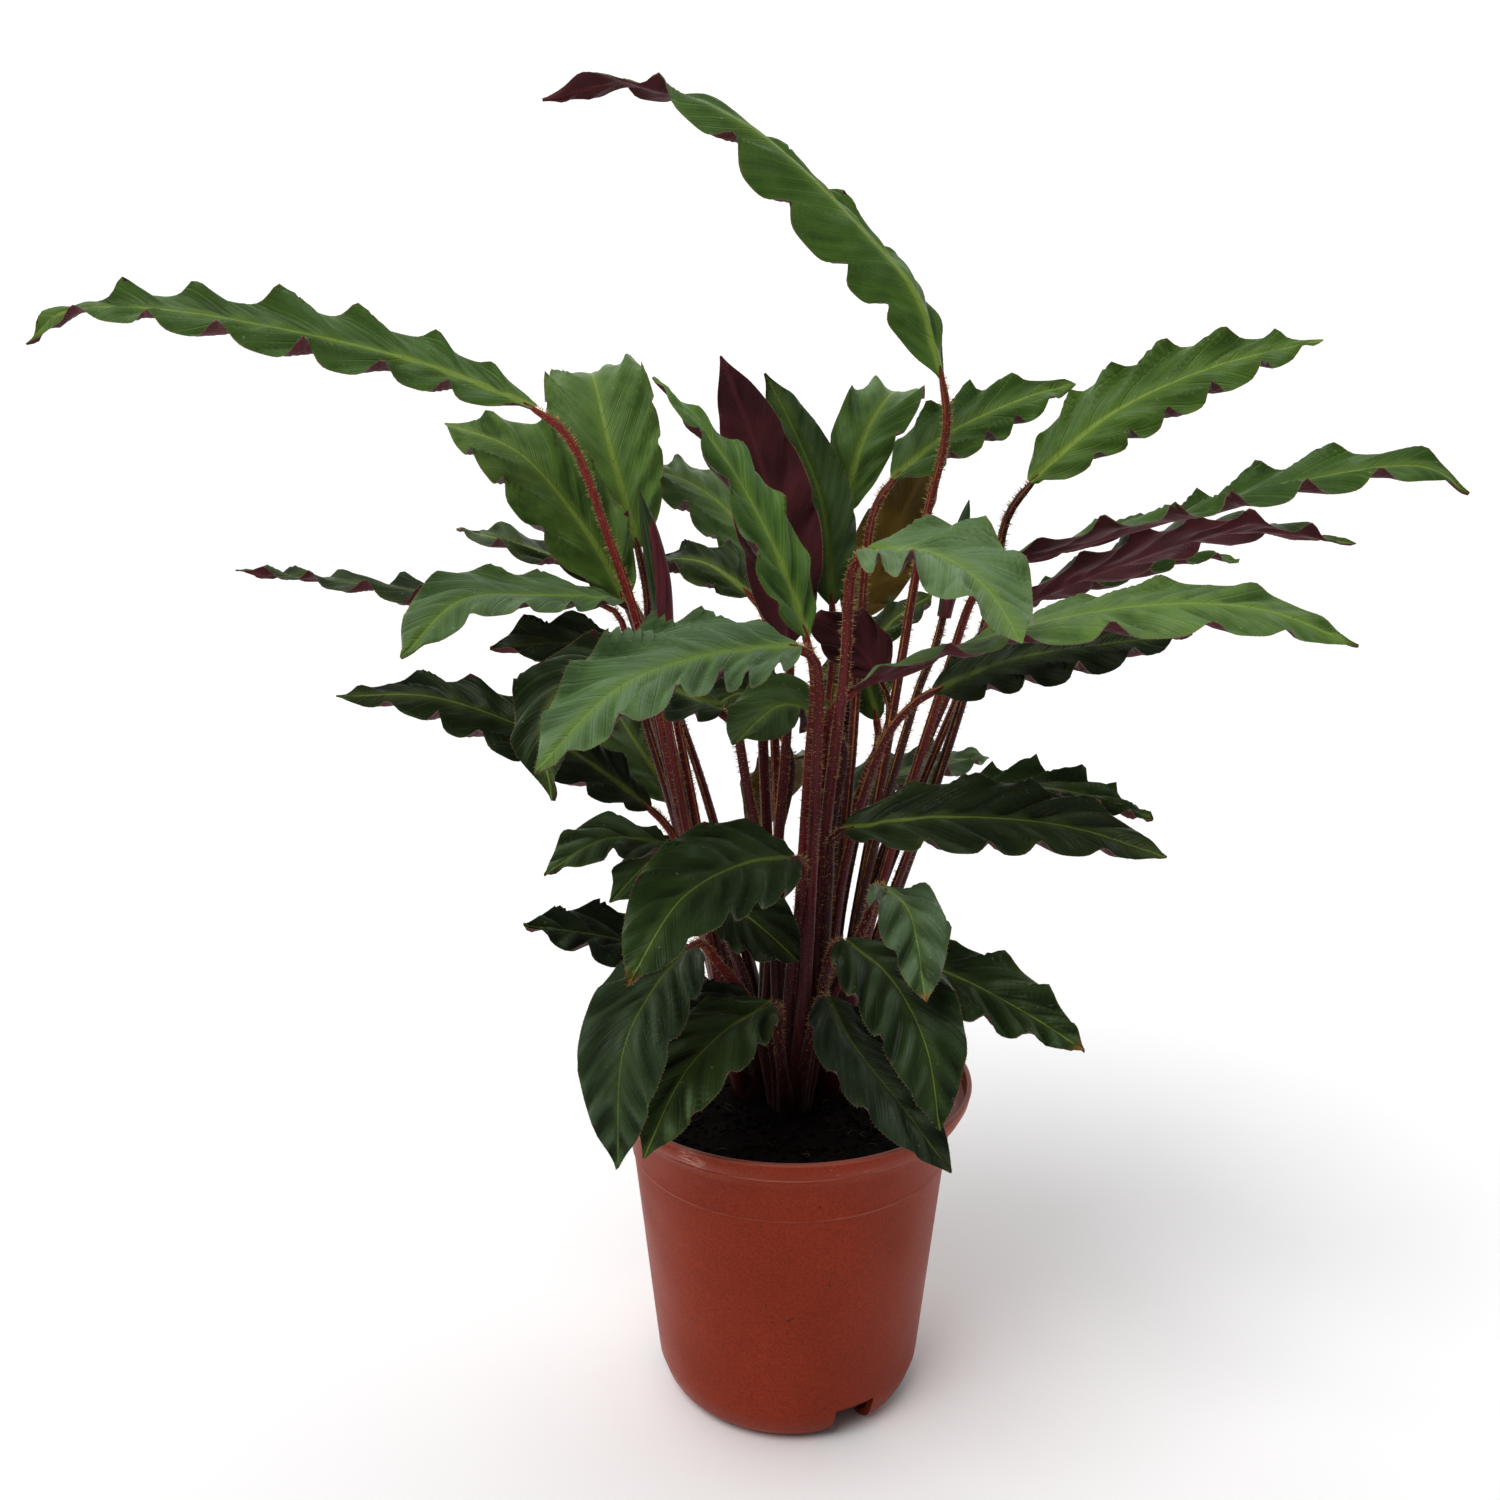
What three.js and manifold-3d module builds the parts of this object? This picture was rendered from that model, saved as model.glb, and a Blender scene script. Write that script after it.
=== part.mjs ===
import * as THREE from 'three';
import { mergeVertices } from 'three/addons/utils/BufferGeometryUtils.js';
import Module from 'manifold-3d';

// A velvet calathea in its nursery pot. Millimetres, +Z up, origin under the middle of the pot.
// Every leaf is a waved blade on a hairy stalk, and the stalks of a clump grow from one crown in the soil.

// Pot sizes
const potHeight = 155;
const lipRadius = 85;
const lipBandHeight = 11;
const lipWall = 2.2;
const wallTopRadius = 76;
const footRadius = 62;
const footCorner = 7;
const footRingOuterRadius = 49.5;
const wallThickness = 2;
const ridgeHeight = 122;
const ridgeStep = 0.7;
const floorThickness = 2;
const floorDiscRadius = 30;
const channelHeight = 17;
const channelInnerRadius = 34;
const channelOuterRadius = 59;
const insideFloorRadius = 57;
const footRingInnerRadius = 47;
const potSegments = 32;
const notchWidth = 20;
const notchHeight = 17.3;
const notchInnerRadius = 46;
const notchReach = 24;
const notchAngles = [-62, 58, 178];
const drainHoleRadius = 4;
const drainHoleCount = 6;
const drainHoleCircle = 41;
const drainHoleSides = 8;
const lipBottom = potHeight - lipBandHeight;
const wallSlope = (wallTopRadius - footRadius) / (lipBottom - footCorner);
const insideFloor = channelHeight + floorThickness;
const wallFootHeight = insideFloor + 5;

// Soil and crown sizes
const gap = 0.3;
const soilTop = 143;
const crownDepth = 24;
const crownRise = 8;
const crownShoulder = 0.72;
const crownSides = 10;
const stalkRootDepth = 3;
const stalkRootReach = 0.5;

// Stalk and blade sizes
const stalkBaseRadius = 3.1;
const stalkTopRadius = 1.9;
const stalkSides = 5;
const stalkSteps = 5;
const neckStraight = 9;
const bladeGap = 0.35;
const neckHalfWidth = 1.7;
const tipHalfWidth = 0.4;
const marginThickness = 0.7;
const ribThicknessAtNeck = 2.6;
const ribThicknessAtTip = 0.8;
const waveHeightShare = 0.13;
const crestSharpness = 1.9;
const crestSwing = 2;
const troughShare = 0.7;
const foldShare = 0.12;
const innerColumn = 0.45;
const broadWidth = 42;
const shortestStep = 0.02;
const spearSides = 8;
const spearSteps = 8;
const spearFootShare = 0.72;
const spearBodyShare = 1.1;
const spearTaper = 3.5;
const spearPoint = 0.8;

// Colours of the real surfaces
const potColour = 0xa5563f;
const soilColour = 0x1c1714;
const stalkColour = 0x6b2c28;
const spearColour = 0x5c2c2c;
const bladeColours = { bright: 0x4d7a3a, green: 0x3a6332, dark: 0x2a3c26 };

const crowns = {
  left: { at: [-17, 7], radius: 11 },
  right: { at: [16, 8], radius: 11 },
  front: { at: [0, -9], radius: 10 },
  back: { at: [-1, 30], radius: 11 },
};

// Each leaf: its clump, the stalk's way up, the midrib from neck to tip, the way that the upper side faces
// at neck and tip, the blade's full width, the number of waves along each margin and where the first starts.
// Some leaves have a fold of their own, which is how far their halves rise from the midrib, another fold at
// the tip, a ruffle that scales their waves, or a late turn, with which they only turn near the tip.
const leaves = [
  // Tall leaves that arch over the top
  {
    name: 'leaf_top_arch', clump: 'right', tone: 'green', width: 36, waves: 6.5,
    phase: 0.35, fold: -0.6, tipFold: 0.85, lateTurn: 4,
    stalk: [[28, 4, 214], [43, 4, 314], [56, 3, 405]],
    midrib: [[63, 4, 471], [53, 2, 500], [34, 0, 523], [-15, -12, 564], [-61, -21, 580], [-98, -27, 573]],
    faceNeck: [0.2, -0.67, 0.74], faceTip: [0, 0.9, 0.9],
  },
  {
    name: 'leaf_left_long', clump: 'left', tone: 'green', width: 37, waves: 7, phase: 0.42, ruffle: 1.2,
    stalk: [[-46, -4, 264], [-64, -4, 356], [-79, -3, 405]],
    midrib: [[-108, -5, 459], [-163, -8, 479], [-240, -20, 495], [-286, -27, 496], [-305, -30, 483]],
    faceNeck: [0.1, -0.6, 0.8], faceTip: [-0.1, -0.5, 0.9],
  },
  {
    name: 'leaf_left_facing', clump: 'back', tone: 'bright', width: 50, waves: 8, ruffle: 0.55,
    stalk: [[-42, 36, 250], [-63, 40, 340]],
    midrib: [[-70, 44, 396], [-83, 52, 442], [-93, 80, 474], [-103, 140, 467]],
    faceNeck: [-0.1, -1, 0.2], faceTip: [0, -0.3, 1],
  },
  {
    name: 'leaf_left_broad', clump: 'left', tone: 'green', width: 43, waves: 5,
    stalk: [[-50, 12, 264], [-68, 17, 330]],
    midrib: [[-74, 20, 375], [-93, 21, 408], [-121, 30, 439], [-159, 55, 452]],
    faceNeck: [0.35, -0.85, 0.45], faceTip: [0.25, -0.8, 0.6],
  },
  {
    name: 'leaf_left_behind', clump: 'back', tone: 'dark', width: 27, waves: 3,
    stalk: [[-38, 48, 270], [-66, 58, 350]],
    midrib: [[-83, 62, 377], [-118, 76, 391], [-167, 110, 400]],
    faceNeck: [0, -0.3, 1], faceTip: [0, -0.2, 1],
  },
  // Leaves that reach out at the left, below the tall ones
  {
    name: 'leaf_left_thin', clump: 'back', tone: 'dark', width: 27, waves: 6.7,
    phase: 0.57, fold: 0.02, ruffle: 1.3, lateTurn: 5,
    stalk: [[-46, 28, 264], [-72, 32, 345]],
    midrib: [[-87, 36, 372], [-141, 30, 375], [-199, 25, 382], [-246, 15, 389]],
    faceNeck: [0, -0.15, 1], faceTip: [0, 0.5, 0.85],
  },
  {
    name: 'leaf_left_curled', clump: 'left', tone: 'green', width: 43, waves: 5, ruffle: 0.45,
    stalk: [[-48, 6, 264], [-63, 8, 340]],
    midrib: [[-75, 7, 377], [-106, -20, 382], [-133, -53, 384], [-150, -85, 366]],
    faceNeck: [-0.1, -0.3, 1], faceTip: [-0.15, -0.8, 0.55],
  },
  {
    name: 'leaf_left_under', clump: 'left', tone: 'dark', width: 36, waves: 3,
    stalk: [[-44, -10, 264], [-55, -9, 330]],
    midrib: [[-65, -11, 355], [-94, -22, 362], [-125, -38, 363]],
    faceNeck: [0, -0.4, 0.9], faceTip: [0, -0.4, 0.9],
  },
  {
    name: 'leaf_left_low', clump: 'left', tone: 'dark', width: 37, waves: 6.4, phase: 0.78, fold: 0,
    stalk: [[-27, 2, 201], [-44, 1, 248]],
    midrib: [[-63, 0, 284], [-102, -5, 314], [-153, -10, 336], [-195, -20, 339]],
    faceNeck: [0.3, -0.55, 0.85], faceTip: [0, -0.5, 0.9],
  },
  {
    name: 'leaf_left_back_drop', clump: 'back', tone: 'green', width: 40, waves: 4,
    stalk: [[-32, 40, 210]],
    midrib: [[-56, 46, 274], [-74, 64, 298], [-92, 100, 313], [-108, 150, 305]],
    faceNeck: [0, -0.6, 0.8], faceTip: [0, -0.3, 1],
  },
  // Front leaves that come towards the viewer
  {
    name: 'leaf_front_high', clump: 'front', tone: 'bright', width: 47, waves: 6.5,
    phase: 0.3, ruffle: 0.8,
    stalk: [[6, -30, 216], [9, -43, 312]],
    midrib: [[1, -48, 366], [-38, -80, 366], [-66, -120, 361], [-90, -155, 340]],
    faceNeck: [-0.1, -0.6, 0.8], faceTip: [-0.3, -0.85, 0.5],
  },
  {
    name: 'leaf_front_under', clump: 'front', tone: 'dark', width: 41, waves: 5,
    stalk: [[-8, -13, 230], [-20, -18, 300]],
    midrib: [[-31, -24, 334], [-62, -46, 351], [-88, -70, 354], [-96, -93, 339], [-92, -104, 316]],
    faceNeck: [-0.1, -0.6, 0.8], faceTip: [-0.4, -0.8, 0.4],
  },
  {
    name: 'leaf_front_right_high', clump: 'right', tone: 'bright', width: 42, waves: 4,
    stalk: [[11, -16, 223], [15, -32, 296], [20, -46, 355]],
    midrib: [[27, -60, 405], [47, -95, 407], [61, -130, 399], [69, -160, 384]],
    faceNeck: [0.1, -0.7, 0.7], faceTip: [0.2, -0.85, 0.5],
  },
  {
    name: 'leaf_front_middle', clump: 'front', tone: 'green', width: 44, waves: 6, ruffle: 0.6,
    stalk: [[-1, -24, 202], [3, -36, 250]],
    midrib: [[1, -47, 276], [-22, -76, 282], [-45, -108, 278], [-63, -135, 255]],
    faceNeck: [0, -0.7, 0.7], faceTip: [-0.3, -0.95, 0.3],
  },
  {
    name: 'leaf_small_left', clump: 'left', tone: 'green', width: 27, waves: 3,
    stalk: [[-30, -5, 210]],
    midrib: [[-53, -15, 272], [-80, -35, 280], [-103, -58, 272]],
    faceNeck: [0.1, -0.4, 0.9], faceTip: [-0.3, -0.6, 0.7],
  },
  {
    name: 'leaf_dark_left', clump: 'left', tone: 'dark', width: 34, waves: 4,
    stalk: [[-26, 0, 180]],
    midrib: [[-48, -12, 213], [-76, -26, 231], [-114, -50, 247]],
    faceNeck: [0, -0.5, 0.85], faceTip: [0, -0.5, 0.85],
  },
  {
    name: 'leaf_left_bit', clump: 'left', tone: 'green', width: 24, waves: 3,
    stalk: [[-32, 13, 200]],
    midrib: [[-47, 20, 256], [-64, 20, 253], [-84, 14, 234]],
    faceNeck: [-0.2, -0.7, 0.7], faceTip: [-0.4, -0.8, 0.4],
  },
  // Low front leaves that hang over the rim
  {
    name: 'leaf_rim_left', clump: 'front', tone: 'green', width: 39, waves: 5, ruffle: 0.5,
    stalk: [[-16, -14, 190], [-33, -29, 222]],
    midrib: [[-43, -50, 238], [-57, -82, 232], [-68, -106, 214], [-70, -115, 171]],
    faceNeck: [-0.2, -0.5, 0.85], faceTip: [-0.1, -1, 0.15],
  },
  {
    name: 'leaf_rim_left_inner', clump: 'front', tone: 'green', width: 38, waves: 5, ruffle: 0.5,
    stalk: [[-6, -36, 188]],
    midrib: [[-10, -52, 212], [-30, -77, 210], [-46, -98, 200], [-60, -113, 174]],
    faceNeck: [-0.3, -0.6, 0.75], faceTip: [-0.4, -0.9, 0.2],
  },
  {
    name: 'leaf_shade_left', clump: 'front', tone: 'dark', width: 26, waves: 3,
    stalk: [[-9, -20, 180]],
    midrib: [[-18, -26, 202], [-34, -40, 204], [-52, -54, 197]],
    faceNeck: [0, -0.6, 0.8], faceTip: [0, -0.7, 0.7],
  },
  {
    name: 'leaf_shade_middle', clump: 'front', tone: 'dark', width: 32, waves: 5, ruffle: 1.2,
    stalk: [[-20, -15, 205]],
    midrib: [[-30, -22, 246], [-18, -38, 245], [2, -56, 233]],
    faceNeck: [0.1, -0.8, 0.6], faceTip: [0.1, -0.8, 0.6],
  },
  {
    name: 'leaf_rim_right_inner', clump: 'front', tone: 'dark', width: 35, waves: 5, ruffle: 0.6,
    stalk: [[8, -27, 182]],
    midrib: [[15, -42, 211], [24, -72, 203], [42, -100, 189], [60, -113, 168]],
    faceNeck: [0.2, -0.6, 0.75], faceTip: [0.4, -0.9, 0.2],
  },
  {
    name: 'leaf_rim_right', clump: 'front', tone: 'green', width: 40, waves: 5, ruffle: 0.7,
    stalk: [[12, -26, 195]],
    midrib: [[22, -45, 238], [38, -82, 236], [49, -110, 220], [54, -120, 190]],
    faceNeck: [0.2, -0.6, 0.75], faceTip: [0.1, -1, 0.1],
  },
  {
    name: 'leaf_right_small', clump: 'front', tone: 'green', width: 29, waves: 3,
    stalk: [[18, -20, 200], [31, -38, 243]],
    midrib: [[36, -62, 268], [44, -90, 266], [48, -114, 240]],
    faceNeck: [0.2, -0.6, 0.75], faceTip: [0.2, -1, 0.2],
  },
  {
    name: 'leaf_right_low', clump: 'right', tone: 'green', width: 37, waves: 4,
    stalk: [[30, -8, 182]],
    midrib: [[51, -20, 221], [76, -40, 217], [99, -62, 211], [117, -82, 205]],
    faceNeck: [0.1, -0.6, 0.8], faceTip: [0.3, -0.7, 0.6],
  },
  // Leaves that reach out at the right
  {
    name: 'leaf_right_middle', clump: 'right', tone: 'dark', width: 41, waves: 5.6,
    phase: 0.49, ruffle: 0.75,
    stalk: [[15, -18, 222], [16, -27, 262]],
    midrib: [[21, -36, 285], [60, -50, 294], [105, -68, 296], [143, -88, 289]],
    faceNeck: [0, -0.5, 0.85], faceTip: [0.1, -0.55, 0.8],
  },
  {
    name: 'leaf_right_behind', clump: 'right', tone: 'green', width: 36, waves: 5.5, phase: 0.6,
    stalk: [[34, 5, 200], [56, 5, 268]],
    midrib: [[72, 5, 290], [108, 6, 292], [134, 2, 289], [162, -4, 280]],
    faceNeck: [0, -0.25, 1], faceTip: [0.2, -0.2, 0.9],
  },
  {
    name: 'leaf_right_back', clump: 'back', tone: 'green', width: 36, waves: 4,
    stalk: [[10, 36, 220]],
    midrib: [[20, 42, 272], [48, 56, 284], [74, 72, 287], [104, 92, 285]],
    faceNeck: [-0.2, -0.4, 0.9], faceTip: [0, -0.2, 1],
  },
  {
    name: 'leaf_right_shaded', clump: 'right', tone: 'dark', width: 38, waves: 5.5,
    stalk: [[19, -6, 216], [25, -12, 268], [38, -18, 316]],
    midrib: [[59, -22, 342], [91, -32, 357], [127, -42, 365], [158, -52, 371]],
    faceNeck: [0, -0.6, 0.8], faceTip: [0, -0.5, 0.85],
  },
  {
    name: 'leaf_right_long', clump: 'right', tone: 'bright', width: 44, waves: 6.6,
    phase: 0.46, fold: -0.05, ruffle: 0.6,
    stalk: [[10, -12, 222], [13, -25, 294]],
    midrib: [[23, -40, 346], [64, -62, 368], [119, -84, 385], [165, -96, 387], [203, -102, 374]],
    faceNeck: [0, 0.25, 1], faceTip: [0.2, -0.7, 0.7],
  },
  {
    name: 'leaf_right_upper', clump: 'right', tone: 'green', width: 41, waves: 6.6,
    stalk: [[44, 8, 224], [68, 12, 298], [88, 15, 372]],
    midrib: [[104, 18, 427], [138, 17, 456], [177, 10, 475], [220, 0, 486]],
    faceNeck: [-0.4, -0.65, 0.6], faceTip: [0.1, -0.6, 0.8],
  },
  {
    name: 'leaf_right_far', clump: 'right', tone: 'green', width: 43, waves: 6.9,
    phase: 0.27, ruffle: 0.8,
    stalk: [[32, 1, 208], [46, 2, 266], [68, 2, 345]],
    midrib: [[92, -8, 395], [148, -18, 411], [205, -33, 430], [243, -46, 436], [262, -52, 426]],
    faceNeck: [0, 0.45, 0.9], faceTip: [0, -0.65, 0.8],
  },
  {
    name: 'leaf_right_burgundy', clump: 'right', tone: 'dark', width: 36, waves: 6, lateTurn: 3,
    stalk: [[30, 8, 214], [46, 10, 270], [74, 7, 345]],
    midrib: [[99, 7, 375], [145, 14, 392], [194, 13, 406], [242, 0, 402]],
    faceNeck: [0, 0.6, 0.8], faceTip: [0, -0.1, 1],
  },
  {
    name: 'leaf_right_hidden', clump: 'right', tone: 'green', width: 30, waves: 5,
    stalk: [[34, 12, 214], [58, 16, 284], [86, 28, 350]],
    midrib: [[109, 40, 373], [163, 52, 387], [190, 59, 391], [215, 66, 387]],
    faceNeck: [0, -0.2, 1], faceTip: [0, -0.1, 1],
  },
  // Upright leaves in the middle
  {
    name: 'leaf_middle_bright', clump: 'front', tone: 'bright', width: 31, waves: 5, ruffle: 0.7,
    stalk: [[3, -24, 230], [6, -36, 310]],
    midrib: [[5, -34, 367], [-10, -36, 406], [-31, -32, 442], [-58, -22, 470]],
    faceNeck: [0.4, -0.8, 0.4], faceTip: [0.7, -0.15, 0.7],
  },
  {
    name: 'leaf_middle_burgundy', clump: 'left', tone: 'dark', width: 37, waves: 4,
    stalk: [[-8, 8, 230], [-3, 12, 300]],
    midrib: [[-1, 14, 356], [-5, 16, 402], [-17, 15, 445], [-31, 8, 480]],
    faceNeck: [0.1, 1, 0], faceTip: [-0.2, 1, 0.3],
  },
  {
    name: 'leaf_middle_upright', clump: 'back', tone: 'green', width: 28, waves: 6, ruffle: 0.9,
    stalk: [[8, 24, 240], [17, 26, 320]],
    midrib: [[19, 28, 372], [14, 31, 416], [2, 35, 447], [-12, 41, 474]],
    faceNeck: [-0.1, -1, 0.1], faceTip: [0, -0.9, 0.4],
  },
  {
    name: 'leaf_middle_bent', clump: 'back', tone: 'bright', width: 32, waves: 4,
    stalk: [[20, 28, 240], [28, 32, 340]],
    midrib: [[25, 44, 412], [33, 52, 444], [49, 78, 466], [60, 132, 461]],
    faceNeck: [-0.1, -1, 0.2], faceTip: [0, -0.3, 1],
  },
  {
    name: 'leaf_right_inner', clump: 'right', tone: 'green', width: 37, waves: 5,
    stalk: [[23, 12, 237], [28, 16, 307], [33, 22, 390]],
    midrib: [[45, 28, 428], [71, 34, 448], [104, 38, 463], [127, 40, 469]],
    faceNeck: [-0.4, -0.6, 0.7], faceTip: [0, -0.6, 0.8],
  },
  {
    name: 'leaf_olive_back', clump: 'back', tone: 'bright', width: 34, waves: 4,
    stalk: [[14, 48, 240], [23, 62, 310]],
    midrib: [[33, 62, 361], [47, 82, 389], [61, 98, 416], [74, 116, 440]],
    faceNeck: [0.3, 0.9, 0.3], faceTip: [0.2, 0.8, 0.5],
  },
  {
    name: 'leaf_inner_small', clump: 'back', tone: 'dark', width: 32, waves: 3,
    stalk: [[-5, 24, 258], [-9, 31, 340]],
    midrib: [[-18, 35, 376], [-40, 46, 389], [-66, 62, 390]],
    faceNeck: [-0.1, -0.4, 0.9], faceTip: [-0.2, -0.3, 0.9],
  },
  {
    name: 'leaf_inner_back', clump: 'back', tone: 'green', width: 40, waves: 4,
    stalk: [[-10, 34, 250], [-13, 42, 330]],
    midrib: [[-13, 59, 384], [-26, 77, 407], [-48, 98, 423], [-78, 126, 431]],
    faceNeck: [0, -0.6, 0.8], faceTip: [0, -0.4, 0.9],
  },
  // Short leaves around the stalks
  {
    name: 'leaf_inner_pale', clump: 'right', tone: 'green', width: 36, waves: 3,
    stalk: [[14, 1, 220], [19, -1, 280]],
    midrib: [[18, -4, 322], [-4, -14, 334], [-26, -44, 323]],
    faceNeck: [-0.2, -0.5, 0.9], faceTip: [-0.3, -0.8, 0.5],
  },
  {
    name: 'leaf_inner_dark', clump: 'left', tone: 'dark', width: 28, waves: 3,
    stalk: [[-10, 12, 240]],
    midrib: [[-8, 16, 322], [-22, 12, 334], [-40, 4, 326]],
    faceNeck: [0, -0.5, 0.85], faceTip: [0, -0.7, 0.7],
  },
  {
    name: 'leaf_olive_drop', clump: 'back', tone: 'bright', width: 34, waves: 3,
    stalk: [[7, 30, 230]],
    midrib: [[10, 36, 300], [-2, 60, 288], [-17, 86, 245]],
    faceNeck: [-0.3, 0.5, 0.8], faceTip: [-0.4, 0.8, 0.3],
  },
  {
    name: 'leaf_inner_green', clump: 'back', tone: 'green', width: 34, waves: 3,
    stalk: [[20, 26, 230], [34, 28, 286]],
    midrib: [[41, 31, 318], [35, 38, 334], [22, 50, 326], [10, 60, 298]],
    faceNeck: [-0.7, -0.6, 0.3], faceTip: [-0.5, -0.8, 0.2],
  },
  {
    name: 'leaf_burgundy_bit', clump: 'right', tone: 'dark', width: 30, waves: 3,
    stalk: [[22, 4, 220], [34, 5, 290]],
    midrib: [[40, 6, 342], [27, 7, 358], [7, 4, 370]],
    faceNeck: [0.2, 0.9, 0.4], faceTip: [0.2, 0.9, 0.4],
  },
  {
    name: 'leaf_back_thin', clump: 'back', tone: 'dark', width: 22, waves: 3,
    stalk: [[24, 30, 250]],
    midrib: [[36, 30, 352], [50, 34, 366], [66, 44, 374]],
    faceNeck: [-0.2, -0.4, 0.9], faceTip: [0, -0.3, 1],
  },
];

// New leaves, still rolled up: the spear takes the place of the blade.
const spears = [
  {
    name: 'spear_left', clump: 'left', radius: 5.4,
    stalk: [[-40, -4, 264], [-52, 2, 330]],
    midrib: [[-55, 4, 354], [-59, 1, 390], [-65, -4, 424]],
  },
  {
    name: 'spear_right', clump: 'right', radius: 4.6,
    stalk: [[32, -2, 240], [52, -8, 330]],
    midrib: [[64, -12, 372], [68, -13, 396], [73, -13, 421]],
  },
];

const wasm = await Module();
wasm.setup();

function toSolid(geometry) {
  const bare = geometry.clone();
  bare.deleteAttribute('normal');
  bare.deleteAttribute('uv');
  const merged = mergeVertices(bare, 1e-4);
  return new wasm.Manifold(new wasm.Mesh({
    numProp: 3,
    vertProperties: Float32Array.from(merged.attributes.position.array),
    triVerts: Uint32Array.from(merged.index.array),
  }));
}

function toGeometry(solid) {
  const mesh = solid.getMesh();
  return indexedGeometry(Array.from(mesh.vertProperties), Array.from(mesh.triVerts));
}

function indexedGeometry(positions, triangles) {
  const geometry = new THREE.BufferGeometry();
  geometry.setAttribute('position', new THREE.Float32BufferAttribute(positions, 3));
  geometry.setIndex(triangles);
  geometry.computeVertexNormals();
  return geometry;
}

function vector([x, y, z]) {
  return new THREE.Vector3(x, y, z);
}

function smoothCurve(points) {
  return new THREE.CatmullRomCurve3(points.map(vector), false, 'catmullrom');
}

// Turned shapes: the profile is a list of [radius, height], closed on the axis, turned about +Z.
function turned(profile, segments) {
  const points = profile.map(([radius, height]) => new THREE.Vector2(radius, height));
  return new THREE.LatheGeometry(points, segments).rotateX(Math.PI / 2);
}

// Half width of a blade along its length: blunt at the neck, widest before the middle, pointed at the tip.
function halfWidthAt(leaf, along) {
  const shape = 2.65 * along ** 0.6 * (1 - along) ** 0.82;
  const least = THREE.MathUtils.lerp(neckHalfWidth, tipHalfWidth, along);
  return Math.max(least, shape * leaf.width / 2);
}

// How far a leaf has turned from its facing and fold at the neck to those at the tip.
function turnedShare(leaf, along) {
  return along ** (leaf.lateTurn ?? 1);
}

// The blade's frame at a place along its midrib: the point, the way across and the way its top faces.
function bladeFrame(leaf, curve, along) {
  const centre = curve.getPointAt(along);
  const tangent = curve.getTangentAt(along);
  const up = vector(leaf.faceNeck).lerp(vector(leaf.faceTip), turnedShare(leaf, along));
  up.addScaledVector(tangent, -up.dot(tangent)).normalize();
  const across = new THREE.Vector3().crossVectors(tangent, up);
  return { centre, across, up };
}

// How high a margin waves at a turn of its waves: narrow crests over broad troughs, side by side in turns.
function waveSwing(side, turn) {
  const least = Math.exp(-crestSharpness);
  const crest = (Math.exp(crestSharpness * Math.sin(turn) * Math.sign(side)) - least) / (1 / least - least);
  return crestSwing * crest - troughShare;
}

// A point of the blade's middle surface, before its thickness: side runs from -1 to 1 across the blade.
function bladePoint(leaf, frame, along, side) {
  const halfWidth = halfWidthAt(leaf, along);
  const calm = Math.sin(Math.PI * along) ** 0.6;
  const turn = 2 * Math.PI * (leaf.waves * along - (leaf.phase ?? 0));
  const height = waveHeightShare * leaf.width * calm * (leaf.ruffle ?? 1);
  const wave = height * Math.abs(side) ** 1.3 * waveSwing(side, turn);
  const neckFold = leaf.fold ?? foldShare;
  const fold = THREE.MathUtils.lerp(neckFold, leaf.tipFold ?? neckFold, turnedShare(leaf, along));
  return frame.centre.clone()
    .addScaledVector(frame.across, side * halfWidth)
    .addScaledVector(frame.up, wave + fold * halfWidth * Math.abs(side));
}

function thicknessAt(along, side) {
  const rib = THREE.MathUtils.lerp(ribThicknessAtNeck, ribThicknessAtTip, Math.sqrt(along));
  return side === 0 ? rib : marginThickness;
}

// Joins two rows of points that run the same way, and keeps the triangles alike on every face.
function stitch(rowA, rowB) {
  const triangles = [];
  let a = 0;
  let b = 0;
  while (a < rowA.length - 1 || b < rowB.length - 1) {
    const nextA = a < rowA.length - 1 ? rowA[a + 1].along : Infinity;
    const nextB = b < rowB.length - 1 ? rowB[b + 1].along : Infinity;
    if (nextA <= nextB) {
      triangles.push([rowA[a].id, rowB[b].id, rowA[a + 1].id]);
      a += 1;
    } else {
      triangles.push([rowA[a].id, rowB[b].id, rowB[b + 1].id]);
      b += 1;
    }
  }
  return triangles;
}

// Places along the leaf at every quarter wave, from neck to tip, or only at the crests and troughs.
function waveStations(leaf, quarters) {
  const stations = [0];
  const firstQuarter = -Math.floor(4 * (leaf.phase ?? 0));
  const lastQuarter = Math.ceil(4 * leaf.waves);
  for (let quarter = firstQuarter; quarter <= lastQuarter; quarter += 1) {
    const along = (quarter / 4 + (leaf.phase ?? 0)) / leaf.waves;
    const isCrest = Math.abs(quarter % 2) === 1;
    if (along > shortestStep && along < 1 - shortestStep && (quarters || isCrest)) {
      stations.push(along);
    }
  }
  return [...stations, 1];
}

// Rows of points along the leaf, many at the waved margins and fewer between them. Each place has a point on
// the upper face and, right after it in the list of positions, one on the lower face.
function bladeRows(leaf, positions) {
  const curve = smoothCurve(leaf.midrib);
  const marginStations = waveStations(leaf, true);
  const innerStations = waveStations(leaf, false);
  const sides = leaf.width >= broadWidth ? [-1, -innerColumn, 0, innerColumn, 1] : [-1, 0, 1];
  return sides.map((side) => {
    const stations = Math.abs(side) === 1 ? marginStations : innerStations;
    return stations.map((along) => {
      const frame = bladeFrame(leaf, curve, along);
      const point = bladePoint(leaf, frame, along, side);
      const top = point.addScaledVector(frame.up, marginThickness / 2);
      const bottom = top.clone().addScaledVector(frame.up, -thicknessAt(along, side));
      positions.push(...top.toArray(), ...bottom.toArray());
      return { along, id: positions.length / 6 - 1 };
    });
  });
}

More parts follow.
